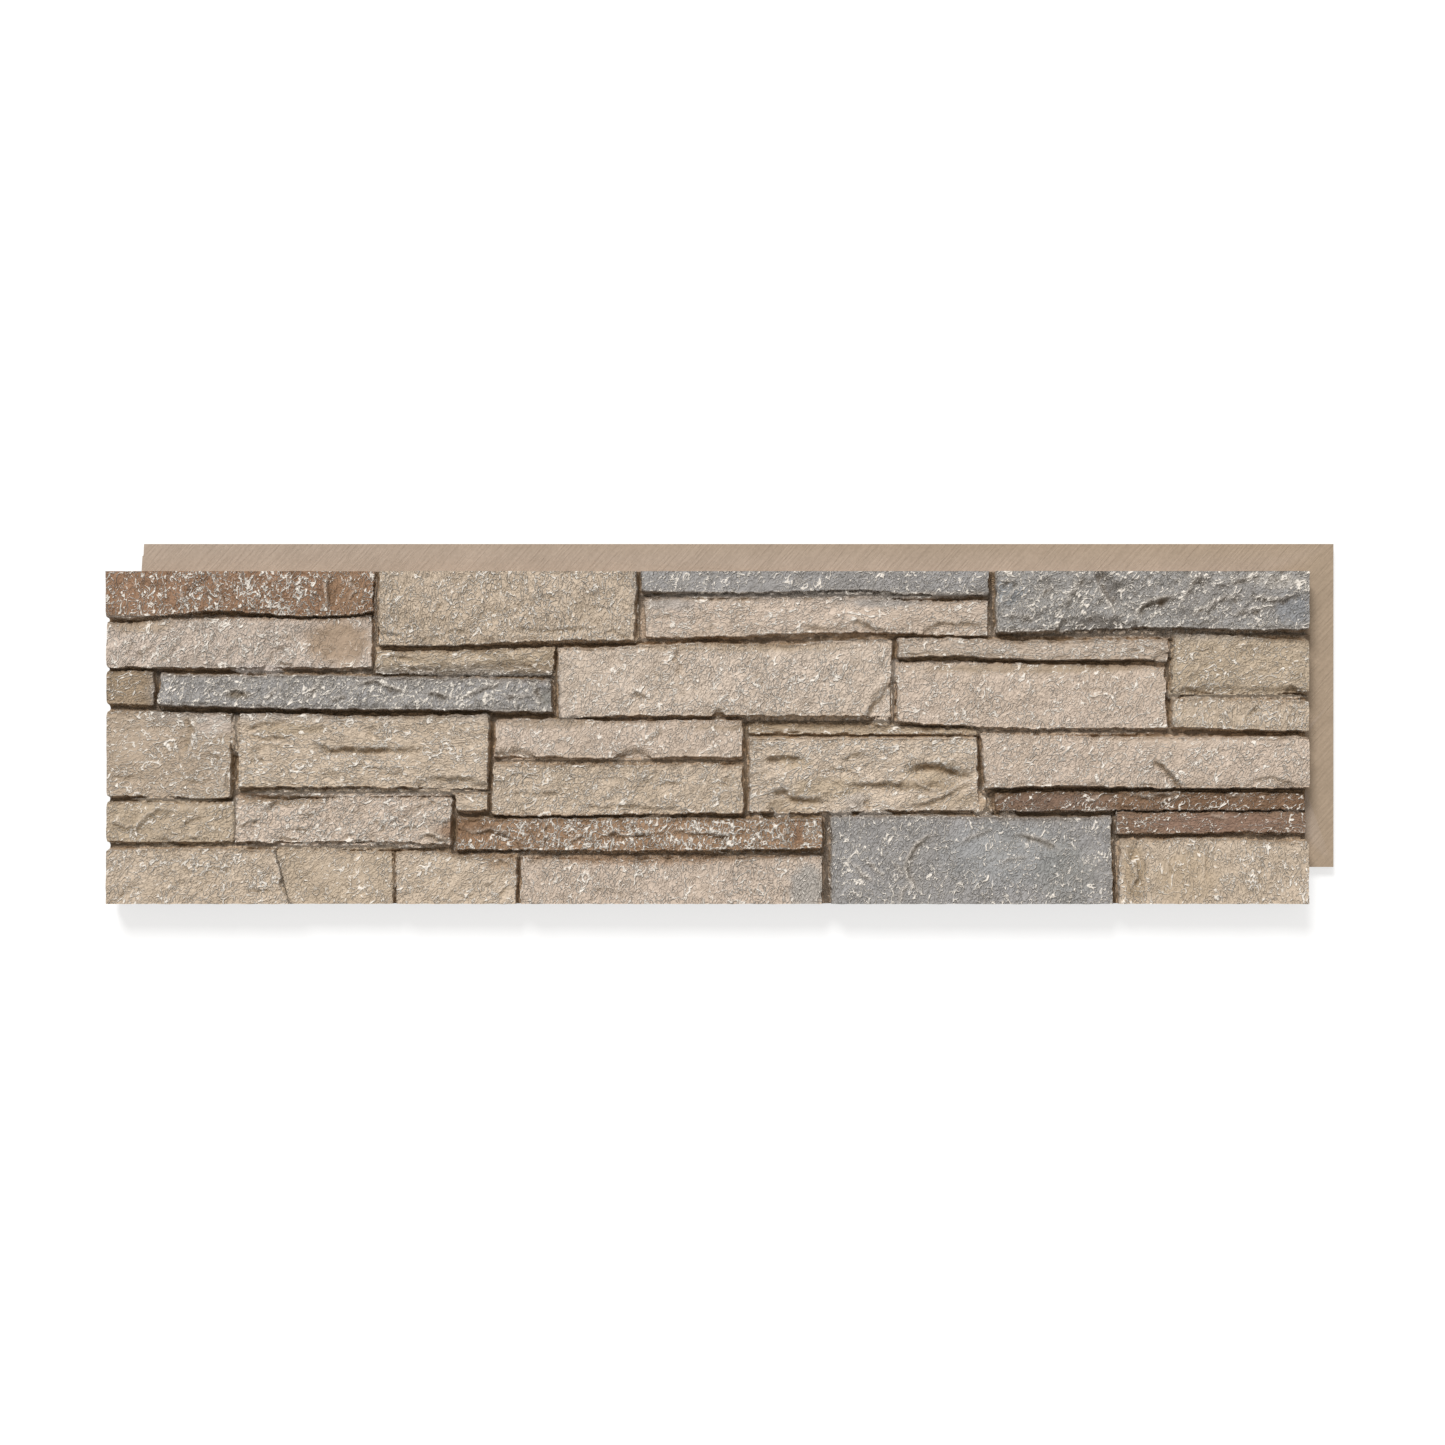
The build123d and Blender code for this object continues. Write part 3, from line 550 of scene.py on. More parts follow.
def broken_edge(drop, reach, lip, points, u, v):
    """What one broken edge does to these places: the height, the lip, and the wash and painted shade on
    its low side.
    """
    nearest_far = np.full(u.shape, 1e9)
    side = np.zeros(u.shape)
    travelled = np.zeros(u.shape)
    length = 0.0
    for (x0, y0), (x1, y1) in zip(points, points[1:]):
        step = np.hypot(x1 - x0, y1 - y0)
        t = np.clip(((u - x0) * (x1 - x0) + (v - y0) * (y1 - y0)) / step**2, 0, 1)
        far = np.hypot(u - x0 - t * (x1 - x0), v - y0 - t * (y1 - y0))
        turn = (u - x0) * (y1 - y0) - (v - y0) * (x1 - x0)
        closer = far < nearest_far
        nearest_far = np.where(closer, far, nearest_far)
        side = np.where(closer, np.sign(turn), side)
        travelled = np.where(closer, length + t * step, travelled)
        length += step
    fade = ease(-0.5, 0.3 * length, travelled) * ease(-0.5, 0.3 * length, length - travelled)
    right = nearest_far * side
    foot = 1.2 + 1.3 * drop
    fall = ease(-0.4, foot, right) * (1 - ease(foot, 1.3 * reach + 3, right)) * 1.55 * drop
    crest = np.exp(-((right + 0.7) ** 2) / 1.4) * fade
    # A darker band on the edge's low side: wash and painted shade.
    low_side_wash_and_shade = ease(-0.6, 0.5, right) * (1 - ease(0.5, 0.8 * reach + 1, right)) * fade
    return 1.5 * lip * crest - fall * fade, crest * min(1, 1.6 * lip), low_side_wash_and_shade * min(0.55, 0.5 * drop)


lips = np.zeros(x.shape)
low_sides_wash_and_shade = np.zeros(x.shape)
for name, rows_of_breaks in breaks.items():
    own = distances[list(stones).index(name)] < 0.5
    for drop, reach, lip, line in rows_of_breaks:
        points = list(zip(line[::2], line[1::2]))
        spots = np.array(points)
        low = spots.min(0) - reach - 3
        high = spots.max(0) + reach + 3
        i0, i1 = np.searchsorted(columns, [low[0], high[0]])
        j0, j1 = np.searchsorted(rows, [low[1], high[1]])
        part = (slice(i0, i1), slice(j0, j1))
        change, on_lip, low_side_wash_and_shade = broken_edge(drop, reach, lip, points, torn_x[part], torn_y[part])
        height[part] += change * own[part]
        lips[part] = np.maximum(lips[part], on_lip * own[part])
        low_sides_wash_and_shade[part] = np.maximum(low_sides_wash_and_shade[part], low_side_wash_and_shade * own[part])

# Cleft faces: thin layers that broke off in steps along the grain, with crooked small
# ridges all over, which are what the mould picks out most.
grain, roughness, ridged, brushed = (
    of_nearest([stone[field] for stone in stones.values()]) for field in (4, 5, 6, 7)
)
grain = np.radians(grain)
shift = nearest * 37.0
along_grain = (x * np.cos(grain) + y * np.sin(grain)) / 1.5 + shift
across_grain = y * np.cos(grain) - x * np.sin(grain)
layers = cloud(along_grain, across_grain, 15, 51, 4) * 4.0
steps = np.floor(layers) + ease(0.0, 0.4, layers - np.floor(layers))
swell = cloud(along_grain, across_grain, 38, 71, 2)
bent_x = along_grain + 1.6 * cloud(x, y, 5, 151)
bent_y = across_grain + 1.6 * cloud(x, y, 5, 161)
crooked = np.abs(cloud(bent_x, bent_y, 6.0, 61))
small_crooked = np.abs(cloud(bent_x, bent_y, 3.4, 62))
ridges = np.clip(1 - crooked / 0.4, 0, 1) * ease(-0.35, 0.25, cloud(x, y, 13, 171, 2))
small_ridges = np.clip(1 - small_crooked / 0.45, 0, 1)
grains = cloud(x, y, 2.6, 181)
cleft = roughness * (0.45 * steps + 0.8 * swell - 0.5)
cleft += ridged * (0.7 * ridges + 0.2 * small_ridges - 0.35) + 0.05 * grains
height = height + on_face * (0.3 + 0.7 * on_stone) * cleft

# Worn edges: here and there a sharp edge is rounded off, and corners are filled.
softened = blur(height, 1.6)
chipping = 2.8 + 1.6 * cloud(x, y, 9, 81, 2)
worn = np.clip(height, softened - 1.8, softened + np.clip(chipping, 0.8, 4.5))
height = np.where(inside_face > 0.5, worn, height)
height = np.minimum(height, highest_point - 0.05)

# Where paint and dirt go, and where shade is painted: pale brushing on crests and edges, a khaki wash in
# the small hollows, darker as painted shade on slopes facing down and on the low sides of broken edges,
# brown in the joints.
fine_rise = height - blur(height, 2.2)
broad_rise = height - blur(height, 6)
crest_map = ease(0.1, 0.8, fine_rise) * on_face
facing_down = np.gradient(blur(height, 1.8), rows, axis=1)
hollow_wash_and_shade = 0.45 * ease(0.05, 0.7, -fine_rise) + 0.5 * ease(0.2, 1.6, -broad_rise)
# Slopes facing down get more of it: this part is painted shade.
hollow_wash_and_shade += 0.45 * ease(0.1, 0.6, facing_down) * ease(0.8, 1, blur(on_stone, 3))
# The low sides of broken edges get more of it too, partly wash and partly painted shade.
hollow_wash_and_shade = np.clip(hollow_wash_and_shade + 0.5 * low_sides_wash_and_shade, 0, 1) * on_stone
joint_map = ease(1.0, 4.5, blur(height, 6.5) - height) * (1 - 0.6 * on_stone)
joint_map = np.maximum(joint_map, 0.55 * (1 - on_stone)) * (1 - 0.6 * mortar) * on_face
# A painted brown shadow under each ledge and below each joint: the more the ledge stands out, the farther
# down.
shadow_from_above = np.full(x.shape, -1.0)
cells_of_painted_shadow = 11
for cells in range(1, cells_of_painted_shadow + 1):
    higher = height[:, np.minimum(np.arange(rows.size) + cells, last_row)]
    joint_near = 1 - on_stone[:, np.minimum(np.arange(rows.size) + cells, last_row)]
    shadow_from_above = np.maximum(shadow_from_above, higher - height - 0.55 * cells * map_step)
    shadow_from_above = np.maximum(shadow_from_above, 2.6 * joint_near * (1 - cells / 8))
ragged = 1 + 0.5 * cloud(x, y, 17, 221, 2)
painted_shadow_under_ledge = ease(0.0, 4.5, blur(shadow_from_above, 1.5) * ragged) * on_stone * on_face

# The shell: the map is its front, and walls go down from its outline to the flat back
# and to the underside of the two laps. The stones' ends stand out over the joints.
stray = 0.5 + 0.5 * cloud(x, y, 12, 91, 3)
open_joint = 1 - blur(on_stone, 3)
across = x + (0.6 * stray + 2.6 * open_joint) * ease(9, 0, x) * (y < face_height)
end_reach = ease(9, 0, np.abs(face_length - x)) * (y < face_height - 2)
across -= (0.6 * stray + 2.2 * open_joint) * end_reach
upwards = y + 0.7 * stray * ease(8, 0, y)
flange_end_lean = 1.5
flange_rise = np.clip((y - face_height) / top_flange, 0, 1)
across += flange_end_lean * flange_rise * ease(left_lap + 12, left_lap, x)
number = np.arange(x.size).reshape(x.shape)
middle_x, middle_y = np.meshgrid(
    (columns[1:] + columns[:-1]) / 2, (rows[1:] + rows[:-1]) / 2, indexing="ij"
)
in_slab = (middle_x < face_length - wall_lean) & (middle_y < face_height - wall_lean)
in_plate = (middle_x > left_lap) & (middle_y > bottom_lap)
kept = in_slab | in_plate
front = np.stack(
    [number[:-1, :-1][kept], number[1:, :-1][kept], number[1:, 1:][kept], number[:-1, 1:][kept]], 1
)
sides = np.concatenate([front[:, [k, (k + 1) % 4]] for k in range(4)])
ahead = sides[:, 0] * x.size + sides[:, 1]
back = sides[:, 1] * x.size + sides[:, 0]
outline_sides = sides[~np.isin(ahead, back)]
following = dict(outline_sides.tolist())
lap_start = int(number[np.searchsorted(columns, left_lap - 0.01), last_row])
lap_end = int(number[last_column, np.searchsorted(rows, bottom_lap - 0.01)])


def walk(start, end):
    """The outline's points from one to another, both counted."""
    points = [start]
    while points[-1] != end:
        points.append(following[points[-1]])
    return points


points = np.stack([across.ravel(), upwards.ravel(), height.ravel()], 1).tolist()


def lowered(outline, level):
    """New points straight below these ones, at this height."""
    first = len(points)
    points.extend([points[k][0], points[k][1], level] for k in outline)
    return list(range(first, len(points)))


def walls(top, foot):
    """A strip of wall between a stretch of the outline and its foot."""
    return [(foot[k], foot[k + 1], top[k + 1], top[k]) for k in range(len(top) - 1)]


lap_top = walk(lap_start, lap_end)
plate_top = walk(lap_end, lap_start)
lap_foot = lowered(lap_top, lap_underside)
plate_foot = lowered(plate_top, 0.0)
shoulder = len(points)
points.append([left_lap, bottom_lap, lap_underside])
points.append([left_lap, bottom_lap, 0.0])
shell = front.tolist() + walls(lap_top, lap_foot)
plate_walls = walls(plate_top, plate_foot)
plate_walls[0] += (lap_foot[-1],)
plate_walls[-1] = plate_walls[-1][:2] + (lap_foot[0],) + plate_walls[-1][2:]
shell += plate_walls
shell.append((plate_foot[-1], shoulder + 1, shoulder, lap_foot[0]))
shell.append((shoulder + 1, plate_foot[0], lap_foot[-1], shoulder))
shell.append(tuple(reversed(lap_foot + [shoulder])))
shell.append(tuple(reversed(plate_foot + [shoulder + 1])))
corner_of_face = np.array([panel_low.x, panel_low.y, panel_low.z])
places = np.array(points) * mm + corner_of_face
fine_mesh = bpy.data.meshes.new("stone_panel_fine")
fine_mesh.from_pydata(places.tolist(), [], shell)
panel = bpy.data.objects.new("stone_panel_casting", fine_mesh)
bpy.context.scene.collection.objects.link(panel)
thinning = panel.modifiers.new("fewer faces", "DECIMATE")
thinning.ratio = most_triangles / sum(len(face) - 2 for face in shell)
settled = panel.evaluated_get(bpy.context.evaluated_depsgraph_get())
panel_mesh = bpy.data.meshes.new_from_object(settled)
panel_mesh.name = "stone_panel_casting"
panel.modifiers.clear()
panel.data = panel_mesh
bpy.data.meshes.remove(fine_mesh)
panel_mesh.shade_smooth()
sharp_from = np.radians(60)
panel_mesh.set_sharp_from_angle(angle=sharp_from)
# The fronts end in a sharp edge wherever a steep wall begins.
steep = 0.5


def read_out(parts, key, width=1, kind=float):
    """One value of each vertex, edge, face or corner of the mesh."""
    values = np.zeros(len(parts) * width, kind)
    parts.foreach_get(key, values)
    return values


facing = read_out(panel_mesh.polygons, "normal", 3)
corners_of = read_out(panel_mesh.polygons, "loop_total", kind=int)
edge_of = read_out(panel_mesh.loops, "edge_index", kind=int)
upright = np.repeat(facing.reshape(-1, 3)[:, 2] < steep, corners_of)
walled = np.bincount(edge_of, upright, len(panel_mesh.edges))
sharp_edges = panel_mesh.attributes["sharp_edge"].data
sharp_edges.foreach_set("value", read_out(sharp_edges, "value", kind=bool) | (walled == 1))
vertices = read_out(panel_mesh.vertices, "co", 3)
vertices = np.clip(vertices.reshape(-1, 3), list(panel_low), list(panel_high))
panel_mesh.vertices.foreach_set("co", vertices.ravel())


def linear(colour):
    """A colour as the eye reads it, from 0 to 255, turned into light for the shader."""
    part = np.asarray(colour, float) / 255
    return np.where(part <= 0.04045, part / 12.92, ((part + 0.055) / 1.055) ** 2.4)


# The paint, sprayed on stone by stone over a tan base coat, so that the browns and blues
# drift a little onto their neighbours. The joints and hollows hold a brown wash, and shade is painted in
# under ledges and on downward slopes.
flange_tan = (177, 160, 144)
# The right flange is painted a darker tan, as painted shade from the stones beside it.
flange_end_shaded_tan = (170, 151, 130)
joint_brown = (182, 152, 118)
khaki_wash_and_shade = (163, 141, 108)
# The brown of the painted shadow under ledges and joints.
ledge_shadow_brown = (150, 121, 88)
lip_cream = (228, 214, 198)
sprayed = {"brown_cap": 3, "thin_blue": 6, "slate_corner": 6, "long_blue": 7}
sprayed.update({"brown_ledge": 3, "brown_strip": 3, "long_brown": 4, "oval_blue": 5})
tan_coats = [stone[3] if name not in sprayed else beige for name, stone in stones.items()]
coat = linear(of_nearest(tan_coats))
drift = 2.5 * cloud(x, y, 16, 101, 3)
overspray = 0.75
for (name, stone), distance in zip(stones.items(), distances):
    if name in sprayed:
        cover = 1 - ease(-0.5, 2.0 * sprayed[name], distance + drift)
        cover = np.where(distance < 0, 1, overspray * cover)[..., None]
        coat = coat * (1 - cover) + linear(stone[3]) * cover

# Places where the spray went on more thickly, and darker bands along the tops of stones that are painted
# shade: the middle, the half width and half height, the colour, how much of it, and how much less
# brushing there is.
thick_coats = [
    (214, 278, 22, 26, (155, 124, 98), 0.9, 0.7),
    (205, 232, 34, 24, (164, 140, 115), 0.8, 0.8),
    (30, 247, 34, 8, (176, 156, 132), 0.7, 0.7),
    (690, 268, 40, 6, (160, 158, 156), 0.7, 0.4),
    (500, 266, 28, 7, (160, 158, 156), 0.5, 0.4),
    (800, 277, 16, 12, (160, 163, 166), 0.9, 0.5),
    (880, 246, 40, 10, (134, 129, 125), 0.8, 0.6),
    (893, 276, 10, 14, (140, 136, 132), 0.8, 0.6),
    (990, 269, 65, 20, (140, 135, 131), 0.35, 0.0),
    (1052, 262, 18, 18, (150, 152, 156), 0.8, 0.9),
    # The next six are painted shade: darker bands along the tops of stones, under the joint or ledge
    # above.
    (560, 228, 110, 5, (168, 148, 122), 0.6, 0.5),
    (820, 209, 120, 5, (160, 140, 114), 0.6, 0.5),
    (395, 160, 50, 5, (158, 140, 118), 0.6, 0.5),
    (600, 157, 100, 4, (156, 136, 110), 0.6, 0.5),
    (165, 155, 36, 6, (170, 152, 126), 0.6, 0.2),
    (155, 91, 44, 5, (160, 140, 114), 0.6, 0.5),
    (375, 210, 34, 6, (160, 140, 116), 0.7, 0.6),
    (912, 28, 12, 30, (170, 148, 118), 0.6, 0.4),
    (720, 106, 50, 6, (164, 142, 112), 0.6, 0.4),
    (96, 158, 22, 12, (203, 190, 180), 0.6, 0.0),
    (134, 207, 26, 6, (208, 197, 191), 0.8, 0.0),
    (735, 123, 26, 6, (214, 198, 178), 0.6, 0.0),
    (622, 66, 12, 10, (188, 168, 148), 0.6, 0.0),
    (1040, 286, 24, 8, (186, 180, 172), 0.8, 0.0),
    (925, 262, 18, 10, (140, 137, 134), 0.6, 0.0),
    (391, 182, 7, 9, (150, 147, 141), 0.9, 0.9),
    (120, 185, 14, 4, (140, 128, 112), 0.8, 0.8),
    (640, 103, 40, 12, (184, 165, 136), 0.5, 0.5),
    (730, 116, 34, 7, (182, 163, 134), 0.5, 0.4),
    (745, 92, 34, 12, (184, 164, 138), 0.5, 0.5),
    (610, 88, 32, 9, (180, 160, 132), 0.5, 0.5),
    (611, 125, 18, 7, (180, 160, 130), 0.5, 0.4),
    (665, 92, 12, 8, (186, 176, 166), 0.7, 0.3),
    (320, 66, 32, 12, (152, 120, 94), 0.8, 0.9),
    (614, 64, 7, 16, (150, 116, 90), 0.8, 0.9),
    (480, 42, 90, 9, (170, 136, 106), 0.6, 0.6),
    (350, 40, 18, 12, (168, 138, 108), 0.6, 0.2),
    (622, 14, 18, 26, (172, 170, 166), 0.7, 0.2),
    (1000, 92, 70, 10, (133, 104, 81), 0.8, 0.3),
    (840, 92, 60, 10, (142, 118, 104), 0.6, 0.2),
    (985, 72, 70, 11, (146, 118, 102), 0.7, 0.3),
    (800, 45, 70, 34, (162, 164, 164), 0.5, 0.5),
    (850, 25, 30, 30, (150, 150, 146), 0.5, 0.0),
    (960, 24, 34, 28, (192, 172, 146), 0.6, 0.6),
]


def far_in_oval(middle_x, middle_y, half_width, half_height):
    """How far places lie out in an oval with a torn rim: 1 is on its edge."""
    return np.hypot((torn_x - middle_x) / half_width, (torn_y - middle_y) / half_height)


thinned = np.ones(x.shape)
soft_rim = 0.15 * cloud(x, y, 9, 191, 2)
for *oval, colour, amount, bare in thick_coats:
    near = 1 - ease(0.55, 1.1, far_in_oval(*oval) + soft_rim)
    coat = coat + (linear(colour) - coat) * (amount * near)[..., None]
    thinned *= 1 - bare * near
patches = cloud(x + shift, y, 45, 111, 3)[..., None]
coat = coat * (1 + 0.06 * patches * np.array([0.9, 1.0, 1.25]))

brightness = coat.mean(2, keepdims=True) / linear(beige).mean()
hollow_wash_and_shade_tone = linear(khaki_wash_and_shade) * np.clip(brightness, 0, 1)
hollow_wash_and_shade_tone = 0.6 * hollow_wash_and_shade_tone + 0.4 * coat * np.array([0.62, 0.58, 0.52])
# Hollows take the khaki wash; downward slopes and the low sides of broken edges take it as painted shade.
coat = coat + (hollow_wash_and_shade_tone - coat) * (0.6 * hollow_wash_and_shade)[..., None]
coat = coat + (linear(joint_brown) * np.clip(brightness, 0.7, 1) - coat) * (0.9 * joint_map)[..., None]
coat = coat + (linear(lip_cream) - coat) * (0.4 * lips)[..., None]
# Painted shadow under ledges and below joints.
ledge_shadow_tone = linear(ledge_shadow_brown) * np.clip(brightness, 0.5, 1)
coat = coat + (ledge_shadow_tone - coat) * (0.65 * painted_shadow_under_ledge)[..., None]
# Past the face the flange takes the darker tan of painted shade.
flange_coat = np.where(x[..., None] < face_length, linear(flange_tan), linear(flange_end_shaded_tan))
coat = np.where(on_face[..., None] > 0.4, coat, flange_coat)
brushing = brushed * on_face * thinned

# Places where the stone was split rougher or smoother than around them: the middle, the
# half width and half height, how much rougher, and how much more brushing is on them.
split_places = [
    (30, 270, 28, 24, -0.4, -0.3),
    (150, 272, 40, 22, 0.1, 0.2),
    (216, 232, 30, 24, -0.6, -0.5),
    (60, 232, 50, 18, 0.2, 0.25),
    (120, 228, 30, 16, 0.2, 0.25),
    (25, 145, 30, 26, -0.5, -0.2),
    (88, 152, 24, 16, 0.2, 0.45),
    (86, 120, 22, 16, 0.2, 0.35),
    (148, 152, 28, 8, 0.3, 0.2),
    (258, 155, 26, 8, 0.3, 0.35),
    (210, 125, 90, 12, 0.1, 0.3),
    (240, 72, 60, 14, 0.4, 0.35),
    (160, 72, 30, 12, 0.2, 0.1),
    (60, 88, 56, 7, -0.5, -0.2),
    (70, 34, 16, 9, 0.3, 0.4),
    (134, 26, 20, 18, 0.3, 0.4),
    (30, 15, 24, 14, -0.3, -0.1),
    (205, 30, 34, 16, -0.4, -0.2),
    (248, 260, 12, 34, 0.4, 0.4),
    (400, 262, 50, 22, 0.2, 0.2),
    (300, 275, 40, 20, -0.1, 0.0),
    (350, 225, 40, 8, 0.2, 0.3),
    (560, 283, 100, 10, -0.35, -0.2),
    (560, 253, 60, 12, 0.1, 0.25),
    (690, 262, 40, 10, -0.2, 0.2),
    (600, 195, 80, 26, 0.25, 0.35),
    (440, 200, 40, 24, -0.3, -0.1),
    (820, 208, 110, 8, -0.5, -0.3),
    (770, 180, 50, 16, 0.2, 0.25),
    (900, 168, 36, 10, 0.2, 0.3),
    (920, 205, 16, 12, -0.5, -0.3),
    (985, 200, 34, 16, 0.1, 0.3),
    (1040, 172, 24, 10, 0.1, 0.3),
    (450, 148, 100, 10, 0.1, 0.2),
    (440, 118, 90, 7, 0.35, 0.3),
    (540, 92, 24, 10, 0.1, 0.3),
    (640, 140, 70, 8, 0.2, 0.35),
    (612, 110, 26, 9, 0.2, 0.4),
    (735, 122, 26, 7, 0.1, 0.5),
    (720, 92, 30, 8, -0.2, -0.2),
    (850, 136, 60, 12, 0.1, 0.3),
    (930, 112, 60, 10, 0.1, 0.2),
    (960, 146, 80, 7, -0.5, -0.2),
    (622, 68, 16, 9, 0.3, 0.5),
    (345, 63, 24, 12, -0.2, -0.2),
    (300, 28, 30, 18, -0.2, 0.1),
    (520, 20, 40, 18, -0.3, -0.2),
    (600, 24, 34, 18, 0.1, 0.2),
    (668, 40, 22, 34, -0.1, 0.1),
    (800, 52, 50, 12, -0.3, -0.3),
    (872, 40, 16, 34, -0.4, -0.3),
    (1020, 34, 30, 20, 0.1, 0.3),
    (806, 262, 14, 26, 0.3, 0.3),
    (845, 258, 26, 14, 0.2, 0.3),
    (1010, 288, 40, 8, 0.2, 0.4),
]
rougher = 0.25 * cloud(x + shift, y, 24, 211, 2)
torn_rim = 0.25 * cloud(x, y, 11, 231, 2)
for *oval, rougher_by, brushed_by in split_places:
    near = (1 - ease(0.45, 1.15, far_in_oval(*oval) + torn_rim)) * on_face
    rougher = rougher + rougher_by * near
    brushing = brushing * (1 + brushed_by * near)
brushing = brushing * (0.9 + 0.2 * ease(-0.3, 0.4, cloud(x, y, 22, 201, 2)))
brushing = brushing * (0.8 + 0.7 * crest_map - 0.6 * hollow_wash_and_shade + 0.8 * lips)
brushing = np.clip(brushing, 0, 1.0) * (1 - joint_map) * (1 - 0.8 * painted_shadow_under_ledge)
rough_map = on_face * (0.5 + 0.5 * ridged) * np.clip(1 + rougher, 0.3, 1.6) * (0.55 + 0.45 * thinned)


def spread(values, vertices):
    """The map's values at the vertices of the finished mesh."""
    at_x = (vertices[:, 0] - panel_low.x) / mm
    at_y = (vertices[:, 1] - panel_low.y) / mm
    i = np.clip(np.searchsorted(columns, at_x) - 1, 0, columns.size - 2)
    j = np.clip(np.searchsorted(rows, at_y) - 1, 0, rows.size - 2)
    s = np.clip((at_x - columns[i]) / (columns[i + 1] - columns[i]), 0, 1)
    t = np.clip((at_y - rows[j]) / (rows[j + 1] - rows[j]), 0, 1)
    if values.ndim > 2:
        s, t = s[:, None], t[:, None]
    near = values[i, j] * (1 - s) + values[i + 1, j] * s
    far = values[i, j + 1] * (1 - s) + values[i + 1, j + 1] * s
    return near * (1 - t) + far * t


on_front = vertices[:, 2] > (lap_underside + 0.5) * mm
colours = np.ones((len(vertices), 4))
past_face = (vertices[:, 0] - panel_low.x)[:, None] > face_length * mm
# Past the face the walls take the darker tan of painted shade.
plain_coat = np.where(past_face, linear(flange_end_shaded_tan), linear(flange_tan))
colours[:, :3] = np.where(on_front[:, None], spread(coat, vertices), plain_coat)
grain_places = np.stack(
    [spread(along_grain, vertices), spread(across_grain, vertices), vertices[:, 2] / mm], 1
)
for layer_name, kind, key, values in [
    ("coat", "FLOAT_COLOR", "color", colours),
    ("brushing", "FLOAT", "value", spread(brushing, vertices) * on_front),
    ("roughness", "FLOAT", "value", spread(rough_map, vertices) * on_front),
    ("grain", "FLOAT_VECTOR", "vector", grain_places),
]:
    layer = panel_mesh.attributes.new(layer_name, kind, "POINT")
    layer.data.foreach_set(key, values.ravel())

painted_foam = bpy.data.materials.new("painted_foam")
painted_foam.use_nodes = True
foam_nodes = painted_foam.node_tree.nodes
foam_links = painted_foam.node_tree.links
foam_shader = foam_nodes["Principled BSDF"]
foam_shader.inputs["Roughness"].default_value = 0.82
foam_shader.inputs["Specular IOR Level"].default_value = 0.3


def foam_node(kind, name, inputs=(), **settings):
    """One node of the paint, with its settings and what goes into its sockets."""
    node = foam_nodes.new(kind)
    node.name = name
    for key, value in settings.items():
        setattr(node, key, value)
    for socket, value in dict(inputs).items():
        if isinstance(value, bpy.types.NodeSocket):
            foam_links.new(value, node.inputs[socket])
        else:
            node.inputs[socket].default_value = value
    return node


def foam_sum(operation, first, second, clamp=False):
    """Two values put together by one sum."""
    node = foam_node("ShaderNodeMath", operation, {0: first, 1: second}, operation=operation)
    node.use_clamp = clamp
    return node.outputs[0]


def times(first, second):
    """One value times another."""
    return foam_sum("MULTIPLY", first, second)


def plus(first, second):
    """One value and another together."""
    return foam_sum("ADD", first, second)


def foam_range(value, low, high, to_low=0.0, to_high=1.0):
    """A value stretched from one range to another, and held inside it."""
    inputs = {0: value, 1: low, 2: high, 3: to_low, 4: to_high}
    return foam_node("ShaderNodeMapRange", "range", inputs).outputs[0]


def foam_noise(name, place, scale, detail, distortion=0.0):
    """Random waves over these places."""
    inputs = {
        "Vector": place,
        "Scale": scale,
        "Detail": detail,
        "Roughness": 0.55,
        "Distortion": distortion,
    }
    return foam_node("ShaderNodeTexNoise", name, inputs).outputs[0]


def foam_folds(name, scale, detail, distortion, width):
    """Crooked crests, as the small ridges of split stone make them, from 0 to 1."""
    waves = foam_noise(name, grain_place, scale, detail, distortion)
    off_line = foam_sum("ABSOLUTE", foam_sum("SUBTRACT", waves, 0.5), 0.0)
    return foam_range(off_line, width, 0.0)


def foam_knobs(name, place, scale, detail):
    """Small knobs and pits, from -1 to 1."""
    return foam_range(foam_noise(name, place, scale, detail), 0.36, 0.64, -1.0, 1.0)


coat_colour = foam_node("ShaderNodeAttribute", "coat", attribute_name="coat").outputs["Color"]
brush_amount = foam_node("ShaderNodeAttribute", "brushing", attribute_name="brushing").outputs["Fac"]
rough_amount = foam_node("ShaderNodeAttribute", "rough", attribute_name="roughness").outputs["Fac"]
grain_place = foam_node("ShaderNodeAttribute", "grain", attribute_name="grain").outputs["Vector"]
own_place = foam_node("ShaderNodeTexCoord", "place").outputs["Object"]
long_ridges = foam_folds("long ridges", 0.115, 0.8, 1.3, 0.05)
short_ridges = foam_folds("short ridges", 0.3, 0.4, 0.8, 0.072)
here_and_there = foam_range(foam_noise("here and there", grain_place, 0.06, 2.0), 0.38, 0.56, 0.3, 1.0)
uneven = foam_range(foam_noise("uneven", grain_place, 0.16, 1.0), 0.4, 0.6, 0.3, 0.9)
knobs = foam_knobs("knobs", grain_place, 0.55, 0.3)
grit = foam_knobs("grit", own_place, 800, 0.0)
blotches = foam_noise("blotches", own_place, 38, 4.0)
long_ridges = times(long_ridges, here_and_there)
ridges = foam_sum("MAXIMUM", long_ridges, times(short_ridges, uneven))
fine = plus(times(knobs, 0.6), times(grit, 0.4))
# The brush only touches what stands up: the more it went over a stone, the more it took.
touched = plus(times(ridges, 1.55), times(fine, 0.06))
spared = foam_sum("SUBTRACT", 1.0, brush_amount)
brush_cover = foam_sum("MULTIPLY", foam_sum("SUBTRACT", touched, spared), 3.3, True)
brush_cover = times(brush_cover, foam_range(brush_amount, 0.0, 0.12))
pale_coat = (*linear((246, 238, 227)), 1)
lift = plus(foam_range(ridges, 0.0, 0.9, -0.06, 0.3), times(fine, 0.11))
lift = times(lift, rough_amount)
shade = plus(foam_range(blotches, 0.3, 0.7, -0.06, 0.06), lift)
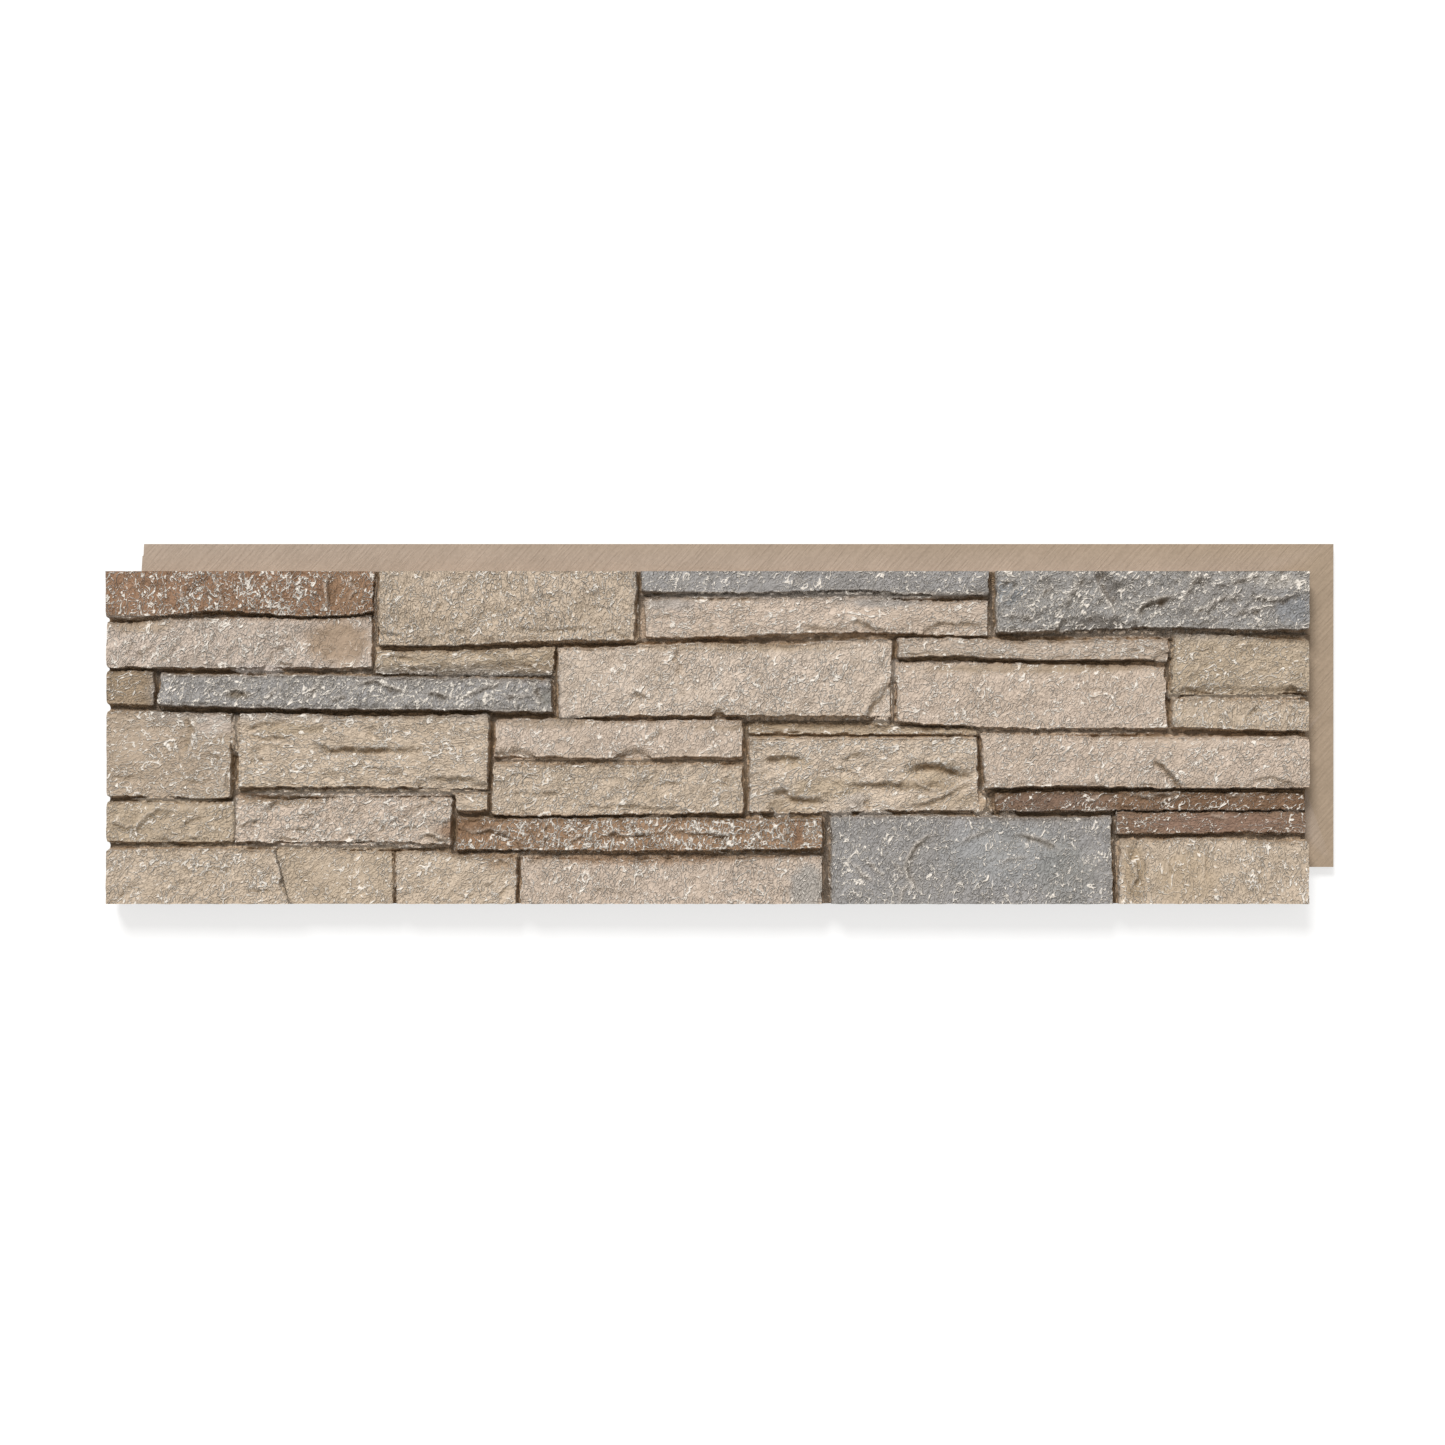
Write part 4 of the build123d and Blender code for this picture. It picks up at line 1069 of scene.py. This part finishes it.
# On the plain flanges the casting shows a fine grain and slanting marks of the brush.
slant = {"Vector": own_place, "Rotation": (0.0, 0.0, np.radians(48)), "Scale": (0.025, 0.0024, 0.02)}
slant_place = foam_node("ShaderNodeMapping", "slant", slant, vector_type="TEXTURE").outputs[0]
marks = foam_knobs("brush marks", slant_place, 1.0, 1.0)
specks = foam_knobs("specks", own_place, 430, 1.0)
plain = foam_range(rough_amount, 0.0, 0.1, 1.0, 0.0)
grain_marks = plus(times(marks, 0.6), specks)
shade = plus(shade, times(times(grain_marks, plain), 0.04))
# Hollows are warmer than crests, because the brown wash settled in them.
warmed = {0: shade, 1: (0.97, 1.0, 1.06), 2: (1.0, 1.0, 1.0)}
tint = foam_node("ShaderNodeVectorMath", "tint", warmed, operation="MULTIPLY_ADD").outputs[0]
toned = foam_node("ShaderNodeVectorMath", "toned", {0: coat_colour, 1: tint}, operation="MULTIPLY")
brushed = foam_node(
    "ShaderNodeMix", "dry brushing", {0: brush_cover, 6: toned.outputs[0], 7: pale_coat}, data_type="RGBA"
)
foam_links.new(brushed.outputs[2], foam_shader.inputs["Base Color"])
# The relief is in millimetres.
ridge_height = 1.9
knob_height = 0.3
stone_relief = plus(times(ridges, ridge_height), times(knobs, knob_height))
stipple = times(foam_noise("stipple", own_place, 420, 2.0), 0.12)
stipple = plus(stipple, times(times(marks, plain), 0.12))
relief = plus(times(stone_relief, rough_amount), stipple)
bump = foam_node("ShaderNodeBump", "fine relief", {"Height": relief, "Distance": mm, "Strength": 1.0})
foam_links.new(bump.outputs[0], foam_shader.inputs["Normal"])
panel_mesh.materials.clear()
panel_mesh.materials.append(painted_foam)
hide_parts("stone_panel")
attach(panel, "root")


# The floor: a wide plain white sheet under the panel, which keeps its soft shadow.
floor_size = 80.0
floor_grey = 0.4
floor_glow = 0.68
floor_mesh = bpy.data.meshes.new("floor")
half = floor_size / 2
floor_mesh.from_pydata(
    [(-half, -half, 0), (half, -half, 0), (half, half, 0), (-half, half, 0)], [], [(0, 1, 2, 3)]
)
floor = bpy.data.objects.new("floor", floor_mesh)
bpy.context.scene.collection.objects.link(floor)
floor_white = bpy.data.materials.new("floor_white")
floor_white.use_nodes = True
floor_nodes = floor_white.node_tree.nodes
floor_links = floor_white.node_tree.links
floor_shader = floor_nodes["Principled BSDF"]
floor_shader.inputs["Base Color"].default_value = (floor_grey, floor_grey, floor_grey, 1)
floor_shader.inputs["Roughness"].default_value = 0.9
floor_shader.inputs["Specular IOR Level"].default_value = 0.0
floor_shader.inputs["Emission Color"].default_value = (1, 1, 1, 1)
seen = floor_nodes.new("ShaderNodeLightPath")
glow = floor_nodes.new("ShaderNodeMath")
glow.operation = "MULTIPLY"
glow.inputs[1].default_value = floor_glow
floor_links.new(seen.outputs["Is Camera Ray"], glow.inputs[0])
floor_links.new(glow.outputs[0], floor_shader.inputs["Emission Strength"])
floor_mesh.materials.append(floor_white)


# The light: a soft lamp from the top of the wall, a little from its left end, as the
# shadows under the stones show, and an even pale room around it.
room = bpy.data.worlds.new("room")
bpy.context.scene.world = room
room.use_nodes = True
room.node_tree.nodes["Background"].inputs["Color"].default_value = (1.0, 0.965, 0.92, 1)
room.node_tree.nodes["Background"].inputs["Strength"].default_value = 0.43
lamp_data = bpy.data.lights.new("top_lamp", "SUN")
lamp_data.energy = 2.68
lamp_data.angle = np.radians(20)
lamp = bpy.data.objects.new("top_lamp", lamp_data)
toward_light = Vector((-0.34, 1.0, 1.1)).normalized()
lamp.rotation_euler = toward_light.to_track_quat("Z", "Y").to_euler()
bpy.context.scene.collection.objects.link(lamp)

# The camera: straight above the panel, as far off as the narrow view of its joints says.
image_width = 1445
face_scale = 0.8853
camera_distance = 2600
camera_data = bpy.data.cameras.new("camera")
sensor_width = 36
camera_data.sensor_width = sensor_width
camera_data.lens = sensor_width * camera_distance / (image_width * face_scale)
camera = bpy.data.objects.new("camera", camera_data)
camera_right = 0.3
camera_up = 0.8
front_level = 35
camera.location = (camera_right * mm, camera_up * mm, (camera_distance + front_level) * mm)
bpy.context.scene.collection.objects.link(camera)
bpy.context.scene.camera = camera
bpy.context.scene.view_settings.view_transform = "Standard"
